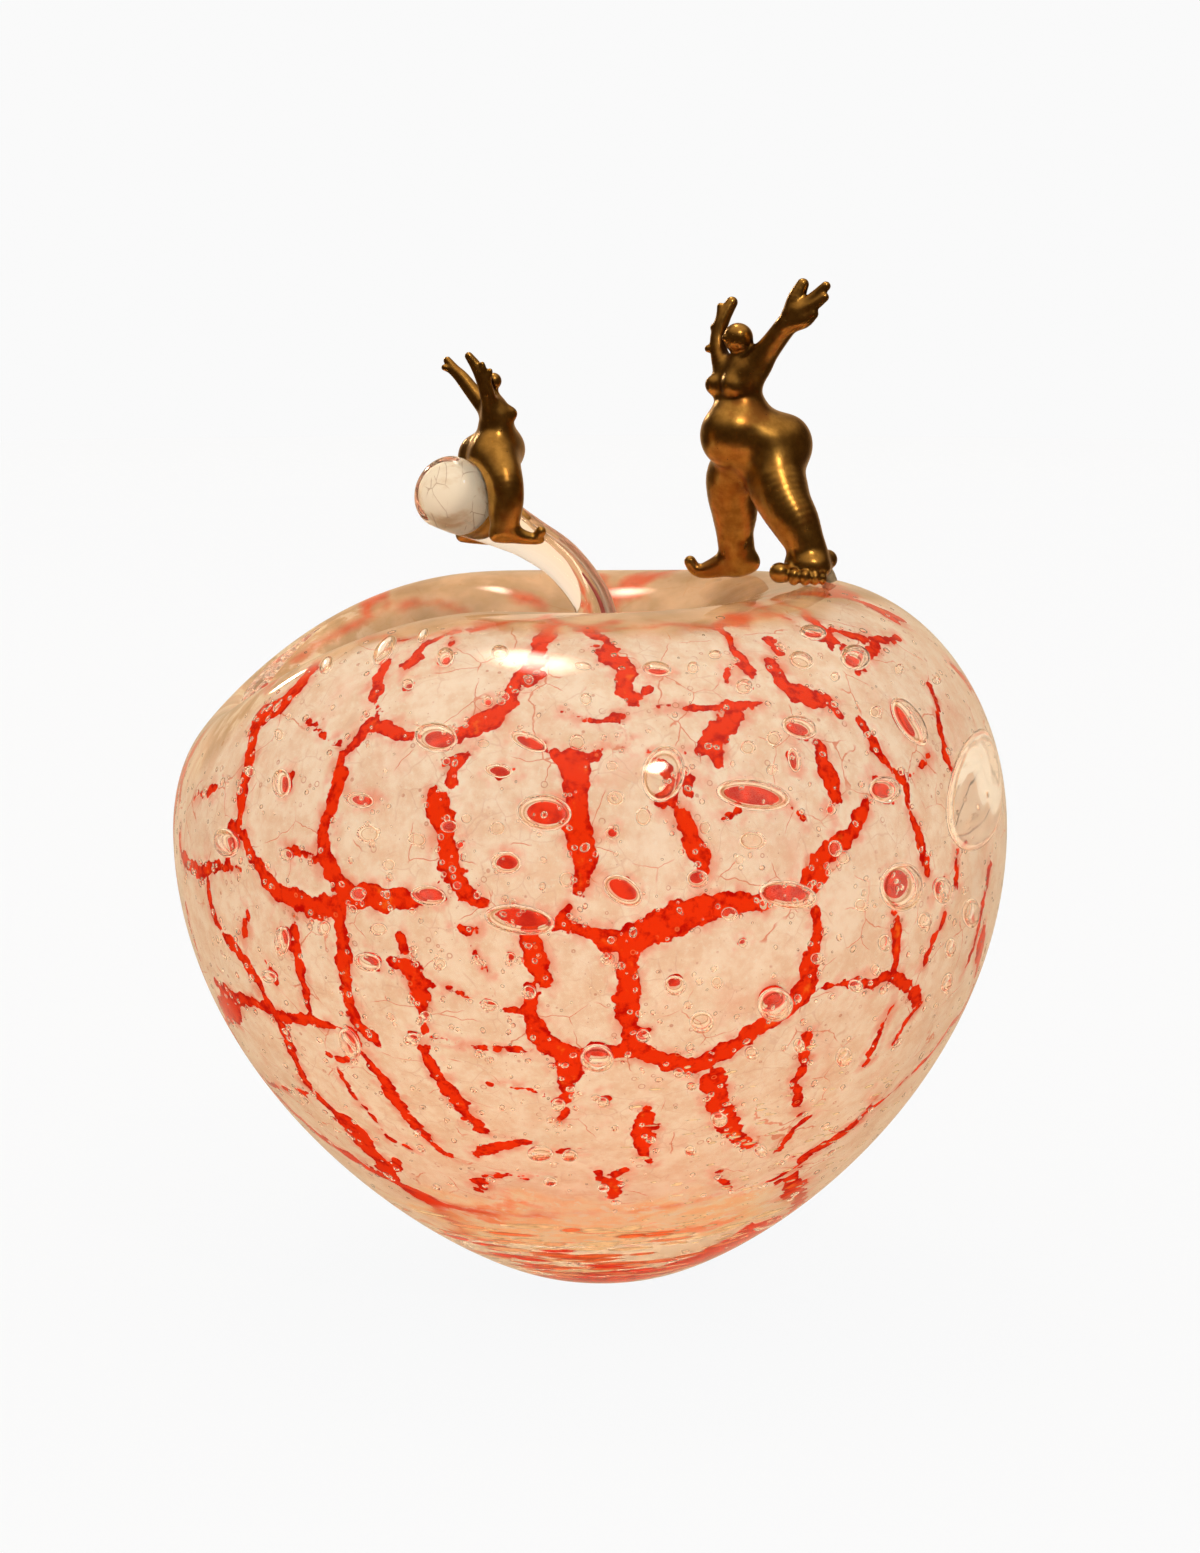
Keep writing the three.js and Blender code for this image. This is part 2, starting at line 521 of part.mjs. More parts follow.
// Keep the part of a polygon where a*u + b*v + c is positive.
function clipPolygon(polygon, a, b, c) {
  const kept = [];
  polygon.forEach((point, k) => {
    const next = polygon[(k + 1) % polygon.length];
    const here = a * point[0] + b * point[1] + c;
    const there = a * next[0] + b * next[1] + c;
    if (here >= 0) kept.push(point);
    if (here * there < 0) {
      const s = here / (here - there);
      kept.push([point[0] + (next[0] - point[0]) * s, point[1] + (next[1] - point[1]) * s]);
    }
  });
  return kept;
}

// Put the pieces together
addPiece('clear_casing', casing, CLEAR_GLASS);
plateRays.forEach((ray, index) => {
  const number = String(index + 1).padStart(2, '0');
  addPiece(`crackle_plate_${number}`, whiteShell.intersect(plateWedge(index)), WHITE_ENAMEL);
});
addPiece('red_bubble', redBubble, RED_GLASS);
addPiece('stem_rod', stemRod, STEM_GLASS);
addPiece('stem_thread_long', thread(longThreadPath), RED_GLASS);
addPiece('stem_thread_short', thread(shortThreadPath), RED_GLASS);
addPiece('standing_figure', standingFigure, BRONZE);
addPiece('riding_figure', ridingFigure, BRONZE);
addPiece('heel_prop', heelProp, GREY_RESIN);

export default group;

// Helpers
async function bootManifold() {
  const wasm = await ManifoldModule();
  wasm.setup();
  return wasm;
}

function solidFrom(points, faces) {
  return new Manifold(new Mesh({
    numProp: 3,
    vertProperties: new Float32Array(points.flatMap((p) => [p.x, p.y, p.z])),
    triVerts: new Uint32Array(faces.flat()),
  }));
}

function solidFromGeometry(geometry) {
  const open = geometry.index ? geometry.toNonIndexed() : geometry;
  const position = open.getAttribute('position');
  const points = [];
  const seen = new Map();
  const corner = [];
  for (let i = 0; i < position.count; i += 1) {
    const p = new THREE.Vector3().fromBufferAttribute(position, i);
    const key = [p.x, p.y, p.z].map((v) => v.toFixed(4)).join(' ');
    if (!seen.has(key)) {
      seen.set(key, points.length);
      points.push(p);
    }
    corner.push(seen.get(key));
  }
  const faces = [];
  for (let i = 0; i < corner.length; i += 3) {
    const [a, b, c] = corner.slice(i, i + 3);
    if (a !== b && b !== c && c !== a) faces.push([a, b, c]);
  }
  return solidFrom(points, faces);
}

// A round limb through [x, y, z, radius] stations. Its ends are domed unless they are flat.
function tube(stations, { sides, flat = false, flatStart = false, domed = 1 }) {
  const rings = stations.map(([x, y, z, r]) => ({ at: new THREE.Vector3(x, y, z), r }));
  const startTangent = rings[1].at.clone().sub(rings[0].at).normalize();
  const endTangent = rings.at(-1).at.clone().sub(rings.at(-2).at).normalize();
  const capSteps = sides >= 9 ? [0.45, 0.85] : [0.7];
  const path = [...rings];
  const start = rings[0];
  const end = rings.at(-1);
  if (!flat && !flatStart) {
    capSteps.forEach((s) => {
      path.unshift(capRing(start, startTangent, -s, domed));
    });
  }
  if (!flat) {
    capSteps.forEach((s) => {
      path.push(capRing(end, endTangent, s, domed));
    });
  }
  const points = [];
  const faces = [];
  let side = new THREE.Vector3(0, 1, 0);
  if (Math.abs(startTangent.y) > 0.8) side = new THREE.Vector3(1, 0, 0);
  path.forEach((ring, i) => {
    const before = path[Math.max(i - 1, 0)].at;
    const after = path[Math.min(i + 1, path.length - 1)].at;
    const tangent = after.clone().sub(before).normalize();
    side = side.clone().addScaledVector(tangent, -side.dot(tangent)).normalize();
    const up = tangent.clone().cross(side);
    for (let k = 0; k < sides; k += 1) {
      const turn = (2 * Math.PI * k) / sides;
      points.push(
        ring.at.clone()
          .addScaledVector(side, ring.r * Math.cos(turn))
          .addScaledVector(up, ring.r * Math.sin(turn)),
      );
    }
  });
  const tipStart = flat || flatStart ? 0 : start.r * domed;
  const tipEnd = flat ? 0 : end.r * domed;
  points.push(start.at.clone().addScaledVector(startTangent, -tipStart));
  points.push(end.at.clone().addScaledVector(endTangent, tipEnd));
  stitchRings(faces, path.length, sides, points.length - 2, points.length - 1);
  return solidFrom(points, faces);
}

function capRing(ring, tangent, s, domed) {
  return {
    at: ring.at.clone().addScaledVector(tangent, ring.r * domed * s),
    r: ring.r * Math.sqrt(1 - s * s),
  };
}

function stitchRings(faces, count, sides, first, last) {
  for (let k = 0; k < sides; k += 1) {
    const next = (k + 1) % sides;
    faces.push([first, next, k]);
    for (let ring = 0; ring + 1 < count; ring += 1) {
      const a = ring * sides + k;
      const b = ring * sides + next;
      faces.push([a, b, b + sides], [a, b + sides, a + sides]);
    }
    const top = (count - 1) * sides;
    faces.push([top + k, top + next, last]);
  }
}

// Trunk of a figure: level elliptical rings, closed by a point below and above.
function bodyLoft(stations, wideAxis, deepAxis, sides) {
  const points = [];
  const faces = [];
  const turnSign = Math.sign(wideAxis.clone().cross(deepAxis).z);
  stations.forEach(({ at, wide, deep }) => {
    for (let k = 0; k < sides; k += 1) {
      const turn = (2 * Math.PI * k * turnSign) / sides;
      points.push(
        new THREE.Vector3(...at)
          .addScaledVector(wideAxis, wide * Math.cos(turn))
          .addScaledVector(deepAxis, deep * Math.sin(turn)),
      );
    }
  });
  const low = stations[0];
  const high = stations.at(-1);
  points.push(new THREE.Vector3(...low.at).setZ(low.at[2] - low.deep * 0.35));
  points.push(new THREE.Vector3(...high.at).setZ(high.at[2] + high.deep * 0.35));
  stitchRings(faces, stations.length, sides, points.length - 2, points.length - 1);
  return solidFrom(points, faces);
}

function ball(centre, radius, sides) {
  const geometry = new THREE.SphereGeometry(radius, sides, Math.round(sides * 0.6));
  geometry.rotateX(Math.PI / 2);
  geometry.translate(...centre);
  return solidFromGeometry(geometry);
}

function footPad(centre) {
  const geometry = new THREE.SphereGeometry(1, 9, 6);
  geometry.rotateX(Math.PI / 2);
  geometry.scale(6.4, 5, 3.3);
  geometry.rotateZ(THREE.MathUtils.degToRad(-40));
  geometry.translate(...centre);
  return solidFromGeometry(geometry);
}

// Round peg through a point of the glass surface, or with a larger radius its hole.
function peg([x, y, surface], radius, above) {
  const deeper = (radius - PEG_RADIUS) * 2;
  return tube([
    [x, y, surface - PEG_DEPTH - deeper, radius],
    [x, y, surface + above, radius],
  ], { sides: 8, flat: true });
}

function finger(base, middle, tip, tipRadius) {
  return tube(onLeftFoot([
    [...base, FINGER_RADIUS + 0.4],
    [...middle, (FINGER_RADIUS + tipRadius) / 2],
    [...tip, tipRadius],
  ]), { sides: 5 });
}

// Stations moved to an anchor point, and lifted.
function shifted(stations, anchor, lift) {
  return stations.map(([x, y, z, ...rest]) => {
    return [x + anchor[0], y + anchor[1], z + anchor[2] + lift, ...rest];
  });
}

// A point a share of the way from one point to another, moved aside.
function between(from, to, share, aside) {
  return from.map((value, k) => value + (to[k] - value) * share + aside[k]);
}

// A point with its radius, at a share of the way through the stations of a path.
function pointAlong(path, share) {
  const place = share * (path.length - 1);
  const index = Math.min(Math.floor(place), path.length - 2);
  return path[index].map((value, k) => value + (path[index + 1][k] - value) * (place - index));
}

// A path that runs up inside the stem, off its centre line. It starts at the root,
// rootX to the side, and has its full offset from the fifth station on.
function threadPath(rootX, offsetX, offsetBack, lastStation) {
  return stemPath.slice(0, lastStation).map(([x, y, z], i) => {
    const ease = Math.min(i / 4, 1);
    const aside = rootX + (offsetX - rootX) * ease;
    return [x + aside, y + offsetBack * ease, z + offsetX * 0.35 * ease];
  });
}

function thread(path) {
  const inside = path.slice(1).map((p) => [...p, THREAD_RADIUS]);
  const first = path[0];
  return tube([[first[0], first[1], first[2] + 1, THREAD_RADIUS], ...inside], { sides: 6 });
}

function channel(path) {
  const r = THREAD_RADIUS + THREAD_CLEARANCE;
  const first = path[0];
  const stations = path.slice(1).map((p) => [...p, r]);
  return tube([[first[0], first[1], first[2] - 2, r], ...stations], { sides: 6 });
}

function join(solids) {
  return Manifold.union(solids);
}

function addPiece(name, solid, look) {
  const mesh = solid.getMesh();
  const geometry = new THREE.BufferGeometry();
  const position = new Float32Array((mesh.vertProperties.length / mesh.numProp) * 3);
  for (let i = 0; i < position.length / 3; i += 1) {
    for (let k = 0; k < 3; k += 1) {
      position[i * 3 + k] = mesh.vertProperties[i * mesh.numProp + k];
    }
  }
  geometry.setAttribute('position', new THREE.BufferAttribute(position, 3));
  geometry.setIndex(new THREE.BufferAttribute(new Uint32Array(mesh.triVerts), 1));
  geometry.computeVertexNormals();
  const material = new THREE.MeshStandardMaterial(look);
  material.name = name;
  const piece = new THREE.Mesh(geometry, material);
  piece.name = name;
  group.add(piece);
}
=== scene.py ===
"""Crackle-glass apple with a bent glass stem and two small bronze figures.

The pieces are worked out in millimetres and stored in metres, in the frame of the CAD model:
+Z is up, +X is to the right in the photograph, and the origin is the centre of the foot.
"""
import math

import bpy
import numpy as np
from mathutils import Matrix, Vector
from mathutils.bvhtree import BVHTree


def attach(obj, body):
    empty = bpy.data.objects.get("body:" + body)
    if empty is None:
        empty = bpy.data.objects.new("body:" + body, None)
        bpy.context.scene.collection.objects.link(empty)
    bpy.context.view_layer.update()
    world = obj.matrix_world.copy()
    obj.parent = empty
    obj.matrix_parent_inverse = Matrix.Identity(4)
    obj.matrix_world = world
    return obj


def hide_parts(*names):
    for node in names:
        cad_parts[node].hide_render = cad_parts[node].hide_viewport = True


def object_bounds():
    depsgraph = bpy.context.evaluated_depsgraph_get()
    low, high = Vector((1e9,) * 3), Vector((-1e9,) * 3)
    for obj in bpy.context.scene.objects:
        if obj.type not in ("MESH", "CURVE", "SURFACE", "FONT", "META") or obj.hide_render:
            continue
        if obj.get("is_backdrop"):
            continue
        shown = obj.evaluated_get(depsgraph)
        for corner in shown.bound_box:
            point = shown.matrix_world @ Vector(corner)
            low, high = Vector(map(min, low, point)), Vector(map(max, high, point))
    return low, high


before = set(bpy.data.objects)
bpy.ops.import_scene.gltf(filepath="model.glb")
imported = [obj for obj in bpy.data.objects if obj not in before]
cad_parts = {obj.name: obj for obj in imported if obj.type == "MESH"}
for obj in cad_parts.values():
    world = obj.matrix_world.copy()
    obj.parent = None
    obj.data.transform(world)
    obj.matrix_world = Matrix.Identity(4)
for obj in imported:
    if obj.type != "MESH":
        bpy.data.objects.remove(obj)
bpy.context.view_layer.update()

scene = bpy.context.scene

# Camera. The photograph looks about 10 degrees down on the apple from 1.2 m away. A place in
# it is given in pixels of its 1200 x 1553 frame, and sight() is the line of sight through one.
FRAME_WIDTH, FRAME_HEIGHT, FOCAL_PIXELS, SENSOR = 1200, 1553, 4571.4, 36
camera_place = np.array([-3.0, -1181.8, 326.4])
camera_aim = np.array([-0.4, 2.4, 131.5])

sight_forward = (camera_aim - camera_place) / np.linalg.norm(camera_aim - camera_place)
sight_right = np.cross(sight_forward, [0, 0, 1])
sight_right /= np.linalg.norm(sight_right)
sight_up = np.cross(sight_right, sight_forward)


def sight(across, down):
    """Unit direction from the camera through a pixel: forwards, plus its offset from the middle."""
    way = (sight_forward * FOCAL_PIXELS + sight_right * (across - FRAME_WIDTH / 2)
           - sight_up * (down - FRAME_HEIGHT / 2))
    return way / np.linalg.norm(way)


def scene_object(name, data):
    """A new object of the scene that shows the data."""
    made = bpy.data.objects.new(name, data)
    scene.collection.objects.link(made)
    return made


def aim(thing, way, nose):
    """Turn a thing so that its nose axis lies along the way, and its Y axis points up."""
    thing.rotation_mode = "QUATERNION"
    thing.rotation_quaternion = Vector(way).to_track_quat(nose, "Y")


camera_data = bpy.data.cameras.new("camera")
camera_data.sensor_width = SENSOR
camera_data.lens = SENSOR * FOCAL_PIXELS / FRAME_HEIGHT
camera_data.clip_start, camera_data.clip_end = 0.05, 20
camera = scene_object("camera", camera_data)
camera.location = camera_place / 1000
aim(camera, sight_forward, "-Z")
scene.camera = camera


# Coloured body of the apple: a blown bubble of red glass with a skin of creamy white enamel,
# shocked in water while hot so that the white cracked into plates and the red shows between.
# It is one surface inside the clear casing. Its colour follows the attributes red and soft.
BELLY_RADIUS, BELLY_HEIGHT, FOOT_RADIUS = 109, 119, 18
LOWER_ROUNDNESS, LEAN = 1.52, 3
CREST_RADIUS_ENDS, CREST_RADIUS_SIDES = 58, 45
CREST_HEIGHT_ENDS, CREST_HEIGHT_SIDES = 183, 180.5
CLEFT_RADIUS, CLEFT_HEIGHT, CLEFT_HALF_ANGLE = 91, 150, math.radians(29)
DIMPLE_FLOOR = 148
# how deep the coloured body lies in the clear glass, and how much less so behind the cleft
BODY_INSET = {"side": 12.3, "top": 9.6, "foot": 38.3, "thinning": 0.74}
THIN_AZIMUTH, THIN_SPREAD = 2.6, 0.65
GLASS_INDEX = 1.5


def lerp(a, b, share):
    """The value a share of the way from a to b."""
    return a + (b - a) * share


def smooth(low, high, value):
    """0 below low, 1 above high, and an S-curve between."""
    s = np.clip((value - low) / (high - low), 0, 1)
    return s * s * (3 - 2 * s)


def apple(azimuth, station, side=0, top=0, foot=0):
    """Skin of the apple. Station 0 is the edge of the foot, 1 the belly, 2 the rim of the
    dimple and 3 its middle. The bowl is a sine to a power against a cosine, the shoulder a
    quarter ellipse, and the dimple a quartic that leaves the rim with the shoulder's bend."""
    azimuth, station = np.broadcast_arrays(azimuth, station)
    ends = np.cos(azimuth) ** 2
    from_left = np.angle(np.exp(1j * (azimuth - math.pi)))
    cleft = np.exp(-((from_left / CLEFT_HALF_ANGLE) ** 2))
    rim = lerp(lerp(CREST_RADIUS_SIDES, CREST_RADIUS_ENDS, ends), CLEFT_RADIUS - side, cleft)
    crest = lerp(lerp(CREST_HEIGHT_SIDES, CREST_HEIGHT_ENDS, ends), CLEFT_HEIGHT, cleft) - top
    belly, floor = BELLY_RADIUS - side, DIMPLE_FLOOR - top
    low_turn = np.clip(station, 0, 1) * math.pi / 2
    low_radius = FOOT_RADIUS + (belly - FOOT_RADIUS) * np.sin(low_turn) ** LOWER_ROUNDNESS
    low_height = foot + (BELLY_HEIGHT - foot) * (1 - np.cos(low_turn))
    turn = np.clip(station - 1, 0, 1) * math.pi / 2
    radius = np.where(station < 1, low_radius, rim + (belly - rim) * np.cos(turn))
    height = np.where(station < 1, low_height, BELLY_HEIGHT + (crest - BELLY_HEIGHT) * np.sin(turn))
    s = 3 - np.clip(station, 2, 3)
    bend = (crest - BELLY_HEIGHT) / (belly - rim) ** 2
    c = np.clip(3 - bend * rim ** 2 / (2 * (crest - floor)), -3, 3)
    dip = floor + (crest - floor) * ((3 + c) * s ** 2 - (2 + 2 * c) * s ** 3 + c * s ** 4)
    radius = np.where(station > 2, rim * s, radius)
    height = np.where(station > 2, dip, height)
    shift = LEAN * (np.clip(1 - height / BELLY_HEIGHT, 0, 1) ** 2 - 1)
    return np.stack([radius * np.cos(azimuth) + shift, radius * np.sin(azimuth), height], -1)


def apple_grid(rows, columns, side=0, top=0, foot=0, thinning=0):
    """Rows of the skin at even steps along its outline, from the foot to the dimple. Behind the
    cleft, along the shoulder, the insets are less by up to a share: a bell curve of the azimuth."""
    fine = np.linspace(0, 3, 900)
    outline = apple(-1.2, fine, side, top, foot)
    along = np.concatenate([[0], np.cumsum(np.linalg.norm(np.diff(outline, axis=0), axis=1))])
    stations = np.interp(np.linspace(0, along[-1], rows + 1)[:-1], along, fine)[:, None]
    azimuths = np.linspace(0, 2 * math.pi, columns, endpoint=False)[None, :]
    bell = np.exp(-(((azimuths - THIN_AZIMUTH) / THIN_SPREAD) ** 2))
    left = 1 - thinning * bell * smooth(1.45, 1.85, stations) * smooth(2.7, 2.2, stations)
    return apple(azimuths, stations, side * left, top * left, foot)


def from_axis(points):
    """Distance of each point from the apple's upright axis."""
    return np.hypot(points[:, 0] + LEAN, points[:, 1])


def mesh_object(name, points, faces):
    """A smooth-shaded mesh object from points in millimetres."""
    mesh = bpy.data.meshes.new(name)
    mesh.from_pydata(np.asarray(points, dtype=float) / 1000, [], faces)
    mesh.shade_smooth()
    return scene_object(name, mesh)


def closed_skins(name, grids):
    """One object from bodies of bodies x rows x columns points, in millimetres. The columns
    join up round each row, and the middle of the first and last row closes each end."""
    bodies, rows, columns, _ = grids.shape
    count = rows * columns
    here = np.arange(count).reshape(rows, columns)
    next_ = np.roll(here, -1, axis=1)
    quads = np.stack([here[:-1], next_[:-1], next_[1:], here[1:]], -1).reshape(-1, 4)
    low = np.stack([np.full(columns, count), next_[0], here[0]], -1)
    high = np.stack([here[-1], next_[-1], np.full(columns, count + 1)], -1)
    ends = np.concatenate([low, high])
    points = np.concatenate([grids.reshape(bodies, count, 3), grids[:, [0, -1]].mean(axis=2)], 1)
    triangles = np.concatenate([quads[:, [0, 1, 2]], quads[:, [0, 2, 3]], ends])
    a, b, c = (points[0][triangles[:, k]] - points[0].mean(axis=0) for k in range(3))
    if np.sum(np.cross(a, b) * c) < 0:
        quads, ends = quads[:, ::-1], ends[:, ::-1]
    step = np.arange(bodies)[:, None, None] * (count + 2)
    faces = (quads + step).reshape(-1, 4).tolist() + (ends + step).reshape(-1, 3).tolist()
    return mesh_object(name, points.reshape(-1, 3), faces)


def point_vectors(thing, what):
    """One vector for each point of the mesh: its place "co" in metres, or its "normal"."""
    flat = np.empty(len(thing.data.vertices) * 3, dtype=np.float32)
    thing.data.vertices.foreach_get(what, flat)
    return flat.reshape(-1, 3)


def vertices(thing):
    """The object's points in millimetres."""
    return point_vectors(thing, "co").astype(float) * 1000


def mark(thing, name, values):
    """Store one number for each point of the mesh, for its material."""
    layer = thing.data.attributes.new(name, "FLOAT", "POINT")
    layer.data.foreach_set("value", np.asarray(values, dtype=np.float32))


def ripple(points, length, seed):
    """Smooth unevenness between about -1 and 1: five sine waves of about that length."""
    chance = np.random.default_rng(seed)
    ways = chance.normal(size=(5, 3))
    turns = 2 * math.pi / length / np.linalg.norm(ways, axis=1) * chance.uniform(0.7, 1.4, 5)
    ways *= turns[:, None]
    return np.sin(points @ ways.T + chance.uniform(0, 6.28, 5)).sum(axis=1) / 2.5


def tree_of(thing):
    """A search tree of the mesh for casting rays, in millimetres."""
    return BVHTree.FromPolygons(vertices(thing).tolist(), [p.vertices[:] for p in thing.data.polygons])


body = closed_skins("cracked_body", apple_grid(188, 512, **BODY_INSET)[None])
casing = closed_skins("clear_glass", apple_grid(150, 320)[None])
casing_tree = tree_of(casing)
body_tree = tree_of(body)


def through_glass(across, down):
    """Where the line of sight through a pixel, bent where it enters the clear glass by the law
    of refraction, meets the coloured body, and the normal there. None where it misses."""
    way = sight(across, down)
    entry, normal, _, _ = casing_tree.ray_cast(Vector(camera_place), Vector(way))
    if entry is None:
        return None
    facing = -normal.dot(Vector(way))
    inwards = math.sqrt(1 - (1 - facing ** 2) / GLASS_INDEX ** 2)
    bent = Vector(way) / GLASS_INDEX + normal * (facing / GLASS_INDEX - inwards)
    landing, out, _, _ = body_tree.ray_cast(entry + bent * 0.01, bent)
    if landing is None:
        return None
    return np.array(landing), np.array(out)


